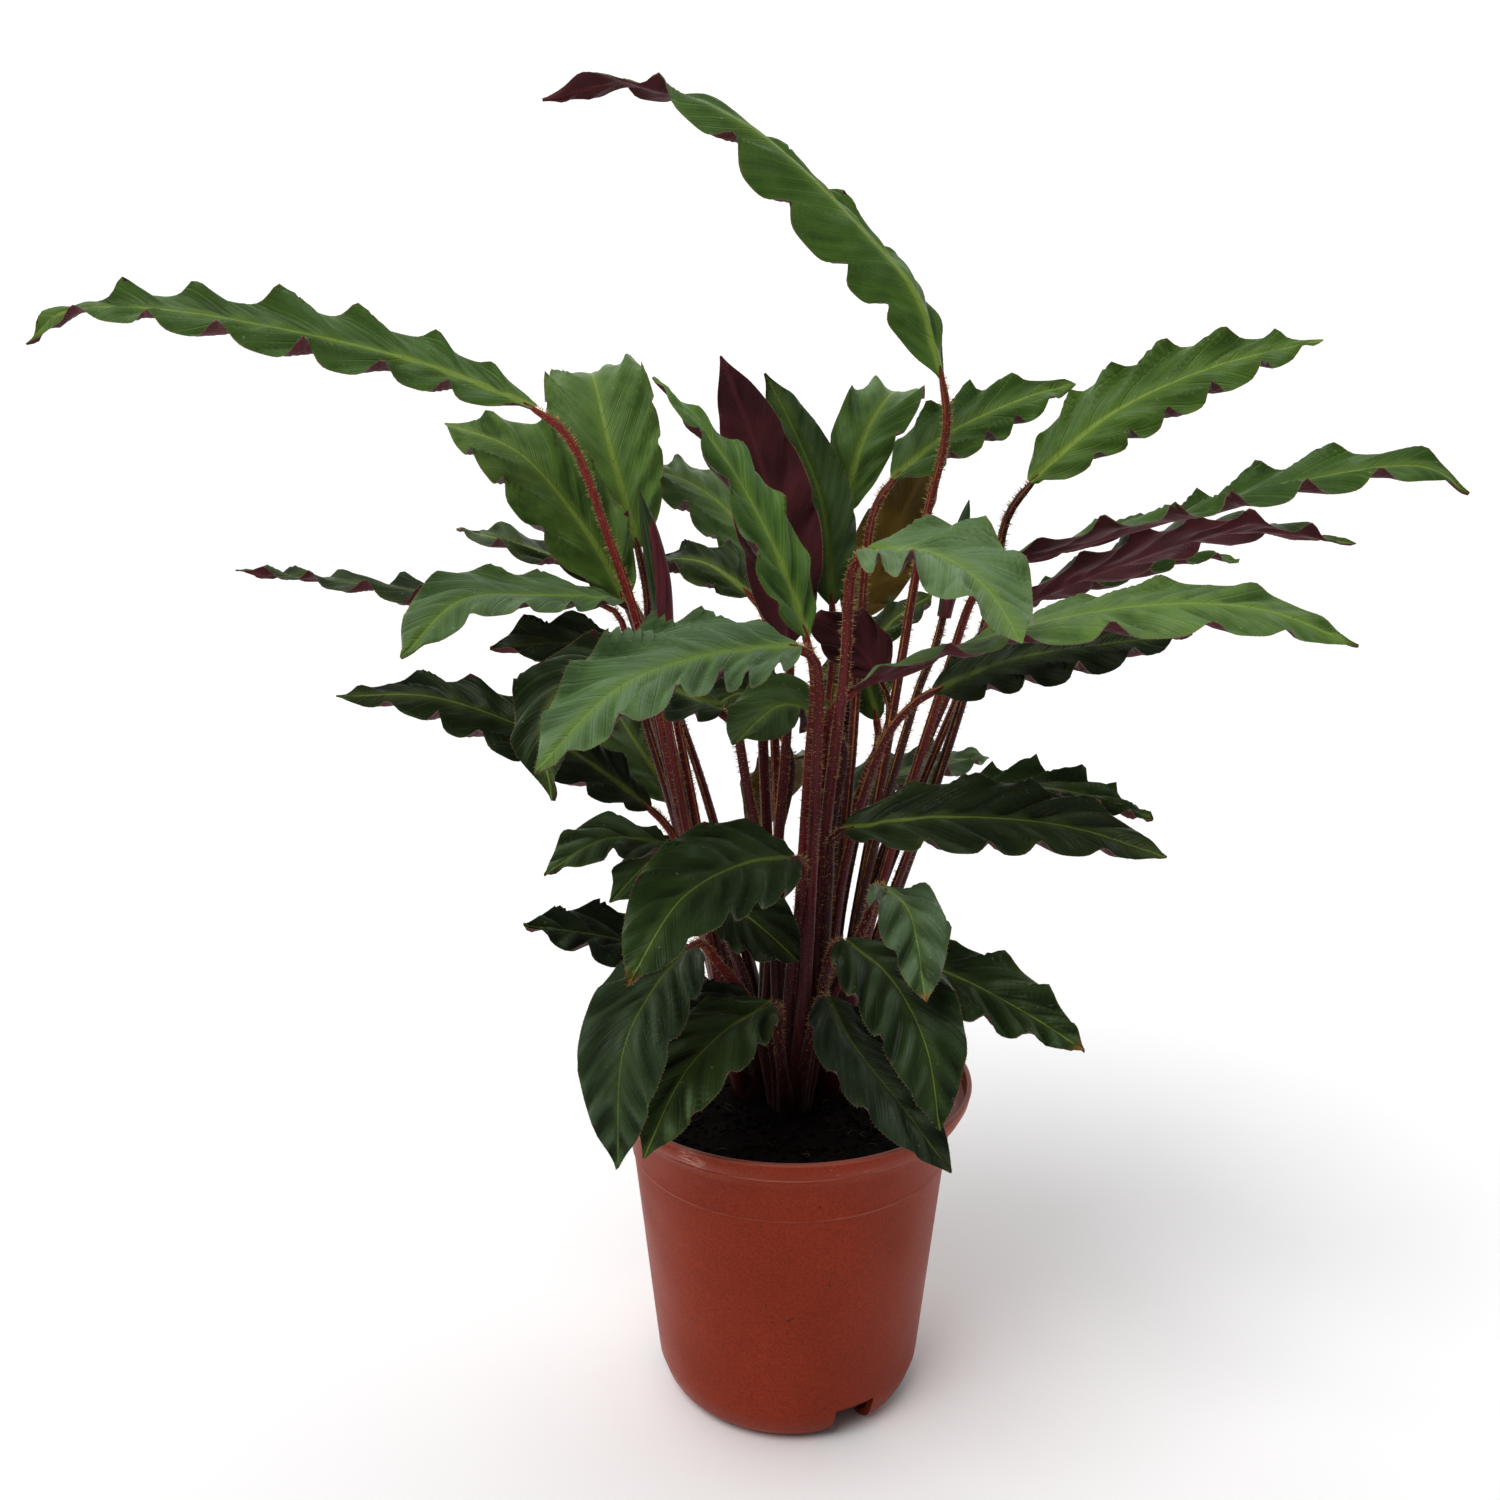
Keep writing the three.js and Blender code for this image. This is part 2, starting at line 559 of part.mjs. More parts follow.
// A waved blade: its two faces are split into triangles alike, and a narrow wall closes them all round.
function bladeGeometry(leaf) {
  const positions = [];
  const rows = bladeRows(leaf, positions);
  const topOf = (id) => 2 * id;
  const bottomOf = (id) => 2 * id + 1;
  const triangles = [];
  const wall = (from, to) => {
    triangles.push(topOf(from), bottomOf(from), bottomOf(to), topOf(from), bottomOf(to), topOf(to));
  };
  for (let column = 0; column < rows.length - 1; column += 1) {
    for (const [p, q, r] of stitch(rows[column], rows[column + 1])) {
      triangles.push(topOf(p), topOf(q), topOf(r), bottomOf(p), bottomOf(r), bottomOf(q));
    }
    wall(rows[column][0].id, rows[column + 1][0].id);
    wall(rows[column + 1].at(-1).id, rows[column].at(-1).id);
  }
  const first = rows[0];
  const last = rows.at(-1);
  for (let i = 0; i < first.length - 1; i += 1) {
    wall(first[i + 1].id, first[i].id);
    wall(last[i].id, last[i + 1].id);
  }
  return indexedGeometry(positions, triangles);
}

// A closed round bar along a curve, with a radius that may change on the way.
function barGeometry(curve, radiusAt, sides, steps) {
  const frames = curve.computeFrenetFrames(steps, false);
  const positions = [];
  const triangles = [];
  for (let step = 0; step <= steps; step += 1) {
    const along = step / steps;
    const centre = curve.getPointAt(along);
    for (let k = 0; k < sides; k += 1) {
      const angle = (2 * Math.PI * k) / sides;
      const point = centre.clone()
        .addScaledVector(frames.normals[step], Math.cos(angle) * radiusAt(along))
        .addScaledVector(frames.binormals[step], Math.sin(angle) * radiusAt(along));
      positions.push(...point.toArray());
    }
  }
  for (let step = 0; step < steps; step += 1) {
    for (let k = 0; k < sides; k += 1) {
      const a = step * sides + k;
      const b = step * sides + ((k + 1) % sides);
      triangles.push(a, b, b + sides, a, b + sides, a + sides);
    }
  }
  const lastRing = steps * sides;
  for (let k = 1; k < sides - 1; k += 1) {
    triangles.push(0, k + 1, k, lastRing, lastRing + k, lastRing + k + 1);
  }
  return indexedGeometry(positions, triangles);
}

// The stalk starts in its crown, on the side that it leans to, and ends in line with the midrib.
function stalkGeometry(leaf) {
  const neck = vector(leaf.midrib[0]);
  const heading = smoothCurve(leaf.midrib).getTangentAt(0);
  const { at: [crownX, crownY], radius } = crowns[leaf.clump];
  const lean = new THREE.Vector2(leaf.stalk[0][0] - crownX, leaf.stalk[0][1] - crownY);
  lean.clampLength(0, stalkRootReach * radius);
  const root = [crownX + lean.x, crownY + lean.y, soilTop - stalkRootDepth];
  const straight = neck.clone().addScaledVector(heading, -neckStraight);
  const end = neck.clone().addScaledVector(heading, -bladeGap);
  const curve = smoothCurve([root, ...leaf.stalk, straight.toArray(), end.toArray()]);
  const radiusAt = (along) => THREE.MathUtils.lerp(stalkBaseRadius, stalkTopRadius, along);
  return barGeometry(curve, radiusAt, stalkSides, stalkSteps);
}

// A rolled leaf is slim at its foot, swells up to its middle and ends in a point.
function spearGeometry(spear) {
  const body = (along) => {
    return THREE.MathUtils.lerp(spearFootShare, spearBodyShare, THREE.MathUtils.smoothstep(along, 0, 0.5));
  };
  const taper = (along) => (1 - along ** spearTaper) ** spearPoint;
  const radiusAt = (along) => Math.max(tipHalfWidth, spear.radius * body(along) * taper(along));
  return barGeometry(smoothCurve(spear.midrib), radiusAt, spearSides, spearSteps);
}

function crownGeometry({ at: [x, y], radius }) {
  const bottom = soilTop - crownDepth;
  const profile = [
    [0, bottom],
    [radius * crownShoulder, bottom],
    [radius, bottom + 5],
    [radius, soilTop],
    [radius * crownShoulder, soilTop + crownRise],
    [0, soilTop + crownRise],
  ];
  return turned(profile, crownSides).translate(x, y, 0);
}

function clumpGeometry(clump) {
  const members = [...leaves, ...spears].filter((leaf) => leaf.clump === clump);
  let solid = toSolid(crownGeometry(crowns[clump]));
  for (const member of members) {
    solid = solid.add(toSolid(stalkGeometry(member)));
  }
  return toGeometry(solid);
}

function wallRadius(height) {
  return footRadius + wallSlope * (height - footCorner);
}

// The pot's wall, rim band and moulded floor, from the middle of its underside round to the middle inside.
// Below the raised floor the wall runs on as a skirt that curves in to the foot ring.
function potProfile() {
  return [
    [0, 0],
    [floorDiscRadius, 0],
    [channelInnerRadius, channelHeight],
    [channelOuterRadius, channelHeight],
    [channelOuterRadius - 2, 8.8],
    [channelOuterRadius - 6, 4],
    [footRingInnerRadius, 0],
    [footRingOuterRadius, 0],
    [footRadius - 7.6, 1.7],
    [footRadius - 3.4, 5.2],
    [footRadius - 0.5, 11.5],
    [wallRadius(ridgeHeight), ridgeHeight],
    [wallRadius(ridgeHeight) + ridgeStep, ridgeHeight + 1],
    [wallRadius(lipBottom) + ridgeStep, lipBottom],
    [lipRadius, lipBottom + 1],
    [lipRadius, potHeight - 1],
    [lipRadius - 1, potHeight],
    [lipRadius - lipWall, potHeight],
    [lipRadius - lipWall - 1, lipBottom + wallThickness],
    [wallTopRadius - wallThickness, lipBottom],
    [wallRadius(wallFootHeight) - wallThickness, wallFootHeight],
    [insideFloorRadius, insideFloor],
    [channelInnerRadius - 2, insideFloor],
    [floorDiscRadius - 2, floorThickness],
    [0, floorThickness],
  ];
}

// A notch through the skirt that lets the water out of the channel.
function notchGeometry(degrees) {
  const notch = new THREE.BoxGeometry(notchReach, notchWidth, 2 * notchHeight);
  return notch.translate(notchInnerRadius + notchReach / 2, 0, 0).rotateZ(THREE.MathUtils.degToRad(degrees));
}

function drainHoleGeometry(index) {
  const angle = (2 * Math.PI * index) / drainHoleCount;
  const length = 4 * channelHeight;
  const drill = new THREE.CylinderGeometry(drainHoleRadius, drainHoleRadius, length, drainHoleSides);
  drill.rotateX(Math.PI / 2);
  return drill.translate(drainHoleCircle * Math.cos(angle), drainHoleCircle * Math.sin(angle), 0);
}

function potGeometry() {
  let pot = toSolid(turned(potProfile(), potSegments));
  for (const degrees of notchAngles) {
    pot = pot.subtract(toSolid(notchGeometry(degrees)));
  }
  for (let index = 0; index < drainHoleCount; index += 1) {
    pot = pot.subtract(toSolid(drainHoleGeometry(index)));
  }
  return toGeometry(pot);
}

// The soil follows the pot's inside up to its level, where it sinks a little towards the wall.
function soilProfile() {
  const wallFoot = wallRadius(wallFootHeight) - wallThickness - 0.5;
  const topRadius = wallFoot + wallSlope * (soilTop - wallFootHeight) - gap;
  return [
    [0, floorThickness + gap],
    [floorDiscRadius - 2 - gap, floorThickness + gap],
    [channelInnerRadius - 2 - gap, insideFloor + gap],
    [insideFloorRadius - 0.5, insideFloor + gap],
    [wallFoot, wallFootHeight],
    [topRadius, soilTop - 1.5],
    [topRadius - 8, soilTop - 0.5],
    [topRadius - 30, soilTop],
    [0, soilTop],
  ];
}

// The plain hole in the soil that a crown stands in, with a gap all round it.
function crownHoleGeometry({ at: [x, y], radius }) {
  const bottom = soilTop - crownDepth - gap;
  const top = soilTop + crownRise;
  const holeRadius = radius + 2 * gap;
  const profile = [[0, bottom], [holeRadius, bottom], [holeRadius, top], [0, top]];
  return turned(profile, crownSides).translate(x, y, 0);
}

function soilGeometry() {
  let soil = toSolid(turned(soilProfile(), potSegments));
  for (const crown of Object.values(crowns)) {
    soil = soil.subtract(toSolid(crownHoleGeometry(crown)));
  }
  return toGeometry(soil);
}

function potMaterial() {
  return new THREE.MeshStandardMaterial({ color: potColour, roughness: 0.5, metalness: 0 });
}

function soilMaterial() {
  return new THREE.MeshStandardMaterial({ color: soilColour, roughness: 0.95, metalness: 0 });
}

function stalkMaterial() {
  return new THREE.MeshStandardMaterial({ color: stalkColour, roughness: 0.6, metalness: 0 });
}

function bladeMaterial(tone) {
  return new THREE.MeshStandardMaterial({ color: bladeColours[tone], roughness: 0.65, metalness: 0 });
}

function spearMaterial() {
  return new THREE.MeshStandardMaterial({ color: spearColour, roughness: 0.5, metalness: 0 });
}

const plant = new THREE.Group();

function addPiece(name, geometry, material) {
  const piece = new THREE.Mesh(geometry, material);
  piece.name = name;
  plant.add(piece);
}

addPiece('pot', potGeometry(), potMaterial());
addPiece('soil', soilGeometry(), soilMaterial());
for (const clump of Object.keys(crowns)) {
  addPiece(`stalks_${clump}`, clumpGeometry(clump), stalkMaterial());
}
for (const leaf of leaves) {
  addPiece(leaf.name, bladeGeometry(leaf), bladeMaterial(leaf.tone));
}
for (const spear of spears) {
  addPiece(spear.name, spearGeometry(spear), spearMaterial());
}

export default plant;
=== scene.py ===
import math
import random
from dataclasses import dataclass

import bmesh
import bpy
import numpy as np
from bpy.props import FloatProperty, FloatVectorProperty, IntProperty, PointerProperty
from mathutils import Matrix, Vector, noise


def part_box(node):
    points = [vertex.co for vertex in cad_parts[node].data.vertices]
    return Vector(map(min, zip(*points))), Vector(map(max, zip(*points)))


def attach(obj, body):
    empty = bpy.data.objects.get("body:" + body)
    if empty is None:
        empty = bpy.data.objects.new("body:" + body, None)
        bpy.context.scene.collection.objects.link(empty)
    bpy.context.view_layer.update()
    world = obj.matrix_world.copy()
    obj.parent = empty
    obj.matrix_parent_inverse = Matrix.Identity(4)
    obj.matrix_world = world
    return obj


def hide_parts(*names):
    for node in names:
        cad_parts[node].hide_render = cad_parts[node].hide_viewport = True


bl_info = {
    "name": "Potted velvet calathea",
    "version": (1, 0, 0),
    "blender": (4, 5, 0),
    "location": "3D View > Sidebar > Calathea",
    "description": "Dresses a potted velvet calathea: waved leaves, hairy stalks, soil and nursery pot",
    "category": "Object",
}

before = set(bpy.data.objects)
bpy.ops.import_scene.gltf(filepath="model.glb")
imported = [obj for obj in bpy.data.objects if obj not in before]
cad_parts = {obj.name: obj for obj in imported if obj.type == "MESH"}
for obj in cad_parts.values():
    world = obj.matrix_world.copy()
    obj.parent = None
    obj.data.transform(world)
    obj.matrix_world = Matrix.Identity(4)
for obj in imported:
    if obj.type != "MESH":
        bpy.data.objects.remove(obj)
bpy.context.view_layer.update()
POT_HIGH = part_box("pot")[1]
SOIL_LOW, SOIL_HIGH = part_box("soil")

# The solids' own measures, from millimetres to the scene's metres
MM = 0.001
STALK_BASE_RADIUS = 3.1 * MM
STALK_TOP_RADIUS = 1.9 * MM
STALK_ROOT_DEPTH = 3 * MM
STALK_ROOT_REACH = 0.5
NECK_EASE = 0.3
NECK_HALF_WIDTH = 1.7 * MM
TIP_HALF_WIDTH = 0.4 * MM
BLADE_THICKNESS = 0.7 * MM
BORDER_WIDTH = 0.8 * MM
RIB_AT_NECK = 2.6 * MM
RIB_AT_TIP = 0.8 * MM
SEAM_TURN = 0.19
# A side vein grows this far along for each metre across, and bends forward by the square of its reach
VEIN_SLOPE = 1.5
VEIN_CURVE = 14
CREST_SHARPNESS = 1.9
WAVE_LEAN = 1.5
# A blade's outline: its scale, so that the widest place gets the full width, and how it opens and closes
OUTLINE_SCALE = 2.65
OUTLINE_AT_NECK = 0.6
OUTLINE_AT_TIP = 0.82
# The midrib's groove above and its keel below
GROOVE_DEPTH = 0.35 * MM
GROOVE_WIDTH = 1.1 * MM
KEEL_WIDTH = 1.5 * MM
CROWN_DEPTH = 24 * MM
CROWN_RISE = 8 * MM
SOIL_TOP = SOIL_HIGH.z
# How far the lumpy surface lies below the solid's top
SOIL_SINK = 1 * MM
# The pot's foot: drainage notches in its skirt and drain holes in its raised floor
NOTCH_SIZE = (24 * MM, 20 * MM, 34.6 * MM)
NOTCH_DISTANCE = 58 * MM
NOTCH_ANGLES = (-62, 58, 178)
DRAIN_HOLES = 6
DRAIN_HOLE_RADIUS = 4 * MM
DRAIN_HOLE_DISTANCE = 41 * MM
DRAIN_CUTTER_DEPTH = 68 * MM
LINE_STEPS = 200

# How each finer piece is divided
BLADE_ROW_LENGTH = 2.2 * MM
BLADE_COLUMNS = 24
STALK_SIDES = 16
STALK_RING_LENGTH = 6 * MM
POT_STEPS = 160
SOIL_STEPS = 144
SOIL_RINGS = 46
HAIR_SIDES = 3
MARGIN_HAIR_STEP = 1.5 * MM
MARGIN_HAIR_RADIUS = 0.08 * MM
# The widest turn that is drawn for a loose crumb or fibre, in radians
LOOSE_TURN = 6.28

# The photo's camera, in millimetres but for its place, and how bright the picture is
SENSOR_WIDTH = 36
LENS = 33.6
CAMERA_SIDE = -18.5 * MM
EXPOSURE = 0.12
GAMMA = 0.86
FLOOR_HALF_SIZE = 60
KEY_DIRECTION = (0.42, 0.5, -1)

# Crowns: the middle and radius of each, in millimetres
CROWNS = {
    "left": (-17, 7, 11),
    "right": (16, 8, 11),
    "front": (0, -9, 10),
    "back": (-1, 30, 11),
}


@dataclass
class Leaf:
    """One leaf, in millimetres: its clump, tone, stalk and midrib, and which way its upper side faces.

    fold and tip_fold are how far its halves rise from the midrib at neck and tip. ruffle scales its waves.
    With a high late_turn it turns to its tip's facing and fold only near the tip."""
    name: str
    clump: str
    tone: str
    stalk: list
    midrib: list
    face_neck: tuple
    face_tip: tuple
    width: float
    waves: float
    phase: float = 0.0
    fold: float = 0.12
    tip_fold: float = None
    ruffle: float = 1.0
    late_turn: float = 1.0


@dataclass
class Spear:
    """A new leaf that is still rolled up, in millimetres."""
    name: str
    clump: str
    stalk: list
    midrib: list
    radius: float


LEAVES = [
    # Tall leaves that arch over the top
    Leaf("leaf_top_arch", "right", "green", width=36, waves=6.5, phase=0.35, fold=-0.6, tip_fold=0.55,
         late_turn=4,
         stalk=[(28, 4, 214), (43, 4, 314), (56, 3, 405)],
         midrib=[(63, 4, 471), (53, 2, 500), (34, 0, 523), (-15, -12, 564), (-61, -21, 580), (-98, -27, 573)],
         face_neck=(0.2, -0.67, 0.74), face_tip=(0, 0.9, 0.9)),
    Leaf("leaf_left_long", "left", "green", width=37, waves=7, phase=0.42, ruffle=1.2,
         stalk=[(-46, -4, 264), (-64, -4, 356), (-79, -3, 405)],
         midrib=[(-108, -5, 459), (-163, -8, 479), (-240, -20, 495), (-286, -27, 496), (-305, -30, 483)],
         face_neck=(0.1, -0.6, 0.8), face_tip=(-0.1, -0.5, 0.9)),
    Leaf("leaf_left_facing", "back", "bright", width=50, waves=8, ruffle=0.55,
         stalk=[(-42, 36, 250), (-63, 40, 340)],
         midrib=[(-70, 44, 396), (-83, 52, 442), (-93, 80, 474), (-103, 140, 467)],
         face_neck=(-0.1, -1, 0.2), face_tip=(0, -0.3, 1)),
    Leaf("leaf_left_broad", "left", "green", width=43, waves=5,
         stalk=[(-50, 12, 264), (-68, 17, 330)],
         midrib=[(-74, 20, 375), (-93, 21, 408), (-121, 30, 439), (-159, 55, 452)],
         face_neck=(0.35, -0.85, 0.45), face_tip=(0.25, -0.8, 0.6)),
    Leaf("leaf_left_behind", "back", "dark", width=27, waves=3,
         stalk=[(-38, 48, 270), (-66, 58, 350)],
         midrib=[(-83, 62, 377), (-118, 76, 391), (-167, 110, 400)],
         face_neck=(0, -0.3, 1), face_tip=(0, -0.2, 1)),
    # Leaves that reach out at the left, below the tall ones
    Leaf("leaf_left_thin", "back", "dark", width=27, waves=6.7, phase=0.57, fold=0.02, ruffle=1.3,
         late_turn=5,
         stalk=[(-46, 28, 264), (-72, 32, 345)],
         midrib=[(-87, 36, 372), (-141, 30, 375), (-199, 25, 382), (-246, 15, 389)],
         face_neck=(0, -0.15, 1), face_tip=(0, 0.5, 0.85)),
    Leaf("leaf_left_curled", "left", "green", width=43, waves=5, ruffle=0.45,
         stalk=[(-48, 6, 264), (-63, 8, 340)],
         midrib=[(-75, 7, 377), (-106, -20, 382), (-133, -53, 384), (-150, -85, 366)],
         face_neck=(-0.1, -0.3, 1), face_tip=(-0.15, -0.8, 0.55)),
    Leaf("leaf_left_under", "left", "dark", width=36, waves=3,
         stalk=[(-44, -10, 264), (-55, -9, 330)],
         midrib=[(-65, -11, 355), (-94, -22, 362), (-125, -38, 363)],
         face_neck=(0, -0.4, 0.9), face_tip=(0, -0.4, 0.9)),
    Leaf("leaf_left_low", "left", "dark", width=37, waves=6.4, phase=0.78, fold=0,
         stalk=[(-27, 2, 201), (-44, 1, 248)],
         midrib=[(-63, 0, 284), (-102, -5, 314), (-153, -10, 336), (-195, -20, 339)],
         face_neck=(0.3, -0.55, 0.85), face_tip=(0, -0.5, 0.9)),
    Leaf("leaf_left_back_drop", "back", "green", width=40, waves=4,
         stalk=[(-32, 40, 210)],
         midrib=[(-56, 46, 274), (-74, 64, 298), (-92, 100, 313), (-108, 150, 305)],
         face_neck=(0, -0.6, 0.8), face_tip=(0, -0.3, 1)),
    # Front leaves that come towards the viewer
    Leaf("leaf_front_high", "front", "bright", width=47, waves=6.5, phase=0.3, ruffle=0.8,
         stalk=[(6, -30, 216), (9, -43, 312)],
         midrib=[(1, -48, 366), (-38, -80, 366), (-66, -120, 361), (-90, -155, 340)],
         face_neck=(-0.1, -0.6, 0.8), face_tip=(-0.3, -0.85, 0.5)),
    Leaf("leaf_front_under", "front", "dark", width=41, waves=5,
         stalk=[(-8, -13, 230), (-20, -18, 300)],
         midrib=[(-31, -24, 334), (-62, -46, 351), (-88, -70, 354), (-96, -93, 339), (-92, -104, 316)],
         face_neck=(-0.1, -0.6, 0.8), face_tip=(-0.4, -0.8, 0.4)),
    Leaf("leaf_front_right_high", "right", "bright", width=42, waves=4,
         stalk=[(11, -16, 223), (15, -32, 296), (20, -46, 355)],
         midrib=[(27, -60, 405), (47, -95, 407), (61, -130, 399), (69, -160, 384)],
         face_neck=(0.1, -0.7, 0.7), face_tip=(0.2, -0.85, 0.5)),
    Leaf("leaf_front_middle", "front", "green", width=44, waves=6, ruffle=0.6,
         stalk=[(-1, -24, 202), (3, -36, 250)],
         midrib=[(1, -47, 276), (-22, -76, 282), (-45, -108, 278), (-63, -135, 255)],
         face_neck=(0, -0.7, 0.7), face_tip=(-0.3, -0.95, 0.3)),
    Leaf("leaf_small_left", "left", "green", width=27, waves=3,
         stalk=[(-30, -5, 210)],
         midrib=[(-53, -15, 272), (-80, -35, 280), (-103, -58, 272)],
         face_neck=(0.1, -0.4, 0.9), face_tip=(-0.3, -0.6, 0.7)),
    Leaf("leaf_dark_left", "left", "dark", width=34, waves=4,
         stalk=[(-26, 0, 180)],
         midrib=[(-48, -12, 213), (-76, -26, 231), (-114, -50, 247)],
         face_neck=(0, -0.5, 0.85), face_tip=(0, -0.5, 0.85)),
    Leaf("leaf_left_bit", "left", "green", width=24, waves=3,
         stalk=[(-32, 13, 200)],
         midrib=[(-47, 20, 256), (-64, 20, 253), (-84, 14, 234)],
         face_neck=(-0.2, -0.7, 0.7), face_tip=(-0.4, -0.8, 0.4)),
    # Low front leaves that hang over the rim
    Leaf("leaf_rim_left", "front", "green", width=39, waves=5, ruffle=0.5,
         stalk=[(-16, -14, 190), (-33, -29, 222)],
         midrib=[(-43, -50, 238), (-57, -82, 232), (-68, -106, 214), (-70, -115, 171)],
         face_neck=(-0.2, -0.5, 0.85), face_tip=(-0.1, -1, 0.15)),
    Leaf("leaf_rim_left_inner", "front", "green", width=38, waves=5, ruffle=0.5,
         stalk=[(-6, -36, 188)],
         midrib=[(-10, -52, 212), (-30, -77, 210), (-46, -98, 200), (-60, -113, 174)],
         face_neck=(-0.3, -0.6, 0.75), face_tip=(-0.4, -0.9, 0.2)),
    Leaf("leaf_shade_left", "front", "dark", width=26, waves=3,
         stalk=[(-9, -20, 180)],
         midrib=[(-18, -26, 202), (-34, -40, 204), (-52, -54, 197)],
         face_neck=(0, -0.6, 0.8), face_tip=(0, -0.7, 0.7)),
    Leaf("leaf_shade_middle", "front", "dark", width=32, waves=5, ruffle=1.2,
         stalk=[(-20, -15, 205)],
         midrib=[(-30, -22, 246), (-18, -38, 245), (2, -56, 233)],
         face_neck=(0.1, -0.8, 0.6), face_tip=(0.1, -0.8, 0.6)),
    Leaf("leaf_rim_right_inner", "front", "dark", width=35, waves=5, ruffle=0.6,
         stalk=[(8, -27, 182)],
         midrib=[(15, -42, 211), (24, -72, 203), (42, -100, 189), (60, -113, 168)],
         face_neck=(0.2, -0.6, 0.75), face_tip=(0.4, -0.9, 0.2)),
    Leaf("leaf_rim_right", "front", "green", width=40, waves=5, ruffle=0.7,
         stalk=[(12, -26, 195)],
         midrib=[(22, -45, 238), (38, -82, 236), (49, -110, 220), (54, -120, 190)],
         face_neck=(0.2, -0.6, 0.75), face_tip=(0.1, -1, 0.1)),
    Leaf("leaf_right_small", "front", "green", width=29, waves=3,
         stalk=[(18, -20, 200), (31, -38, 243)],
         midrib=[(36, -62, 268), (44, -90, 266), (48, -114, 240)],
         face_neck=(0.2, -0.6, 0.75), face_tip=(0.2, -1, 0.2)),
    Leaf("leaf_right_low", "right", "green", width=37, waves=4,
         stalk=[(30, -8, 182)],
         midrib=[(51, -20, 221), (76, -40, 217), (99, -62, 211), (117, -82, 205)],
         face_neck=(0.1, -0.6, 0.8), face_tip=(0.3, -0.7, 0.6)),
    # Leaves that reach out at the right
    Leaf("leaf_right_middle", "right", "dark", width=41, waves=5.6, phase=0.49, ruffle=0.75,
         stalk=[(15, -18, 222), (16, -27, 262)],
         midrib=[(21, -36, 285), (60, -50, 294), (105, -68, 296), (143, -88, 289)],
         face_neck=(0, -0.5, 0.85), face_tip=(0.1, -0.55, 0.8)),
    Leaf("leaf_right_behind", "right", "green", width=36, waves=5.5, phase=0.6,
         stalk=[(34, 5, 200), (56, 5, 268)],
         midrib=[(72, 5, 290), (108, 6, 292), (134, 2, 289), (162, -4, 280)],
         face_neck=(0, -0.25, 1), face_tip=(0.2, -0.2, 0.9)),
    Leaf("leaf_right_back", "back", "green", width=36, waves=4,
         stalk=[(10, 36, 220)],
         midrib=[(20, 42, 272), (48, 56, 284), (74, 72, 287), (104, 92, 285)],
         face_neck=(-0.2, -0.4, 0.9), face_tip=(0, -0.2, 1)),
    Leaf("leaf_right_shaded", "right", "dark", width=38, waves=5.5,
         stalk=[(19, -6, 216), (25, -12, 268), (38, -18, 316)],
         midrib=[(59, -22, 342), (91, -32, 357), (127, -42, 365), (158, -52, 371)],
         face_neck=(0, -0.6, 0.8), face_tip=(0, -0.5, 0.85)),
    Leaf("leaf_right_long", "right", "bright", width=44, waves=6.6, phase=0.46, fold=-0.05, ruffle=0.6,
         stalk=[(10, -12, 222), (13, -25, 294)],
         midrib=[(23, -40, 346), (64, -62, 368), (119, -84, 385), (165, -96, 387), (203, -102, 374)],
         face_neck=(0, 0.25, 1), face_tip=(0.2, -0.7, 0.7)),
    Leaf("leaf_right_upper", "right", "green", width=41, waves=6.6,
         stalk=[(44, 8, 224), (68, 12, 298), (88, 15, 372)],
         midrib=[(104, 18, 427), (138, 17, 456), (177, 10, 475), (220, 0, 486)],
         face_neck=(-0.4, -0.65, 0.6), face_tip=(0.1, -0.6, 0.8)),
    Leaf("leaf_right_far", "right", "green", width=43, waves=6.9, phase=0.27, ruffle=0.8,
         stalk=[(32, 1, 208), (46, 2, 266), (68, 2, 345)],
         midrib=[(92, -8, 395), (148, -18, 411), (205, -33, 430), (243, -46, 436), (262, -52, 426)],
         face_neck=(0, 0.45, 0.9), face_tip=(0, -0.65, 0.8)),
    Leaf("leaf_right_burgundy", "right", "dark", width=36, waves=6, late_turn=3,
         stalk=[(30, 8, 214), (46, 10, 270), (74, 7, 345)],
         midrib=[(99, 7, 375), (145, 14, 392), (194, 13, 406), (242, 0, 402)],
         face_neck=(0, 0.6, 0.8), face_tip=(0, -0.1, 1)),
    Leaf("leaf_right_hidden", "right", "green", width=30, waves=5,
         stalk=[(34, 12, 214), (58, 16, 284), (86, 28, 350)],
         midrib=[(109, 40, 373), (163, 52, 387), (190, 59, 391), (215, 66, 387)],
         face_neck=(0, -0.2, 1), face_tip=(0, -0.1, 1)),
    # Upright leaves in the middle
    Leaf("leaf_middle_bright", "front", "bright", width=31, waves=5, ruffle=0.7,
         stalk=[(3, -24, 230), (6, -36, 310)],
         midrib=[(5, -34, 367), (-10, -36, 406), (-31, -32, 442), (-58, -22, 470)],
         face_neck=(0.4, -0.8, 0.4), face_tip=(0.7, -0.15, 0.7)),
    Leaf("leaf_middle_burgundy", "left", "dark", width=37, waves=4,
         stalk=[(-8, 8, 230), (-3, 12, 300)],
         midrib=[(-1, 14, 356), (-5, 16, 402), (-17, 15, 445), (-31, 8, 480)],
         face_neck=(0.1, 1, 0), face_tip=(-0.2, 1, 0.3)),
    Leaf("leaf_middle_upright", "back", "green", width=28, waves=6, ruffle=0.9,
         stalk=[(8, 24, 240), (17, 26, 320)],
         midrib=[(19, 28, 372), (14, 31, 416), (2, 35, 447), (-12, 41, 474)],
         face_neck=(-0.1, -1, 0.1), face_tip=(0, -0.9, 0.4)),
    Leaf("leaf_middle_bent", "back", "bright", width=32, waves=4,
         stalk=[(20, 28, 240), (28, 32, 340)],
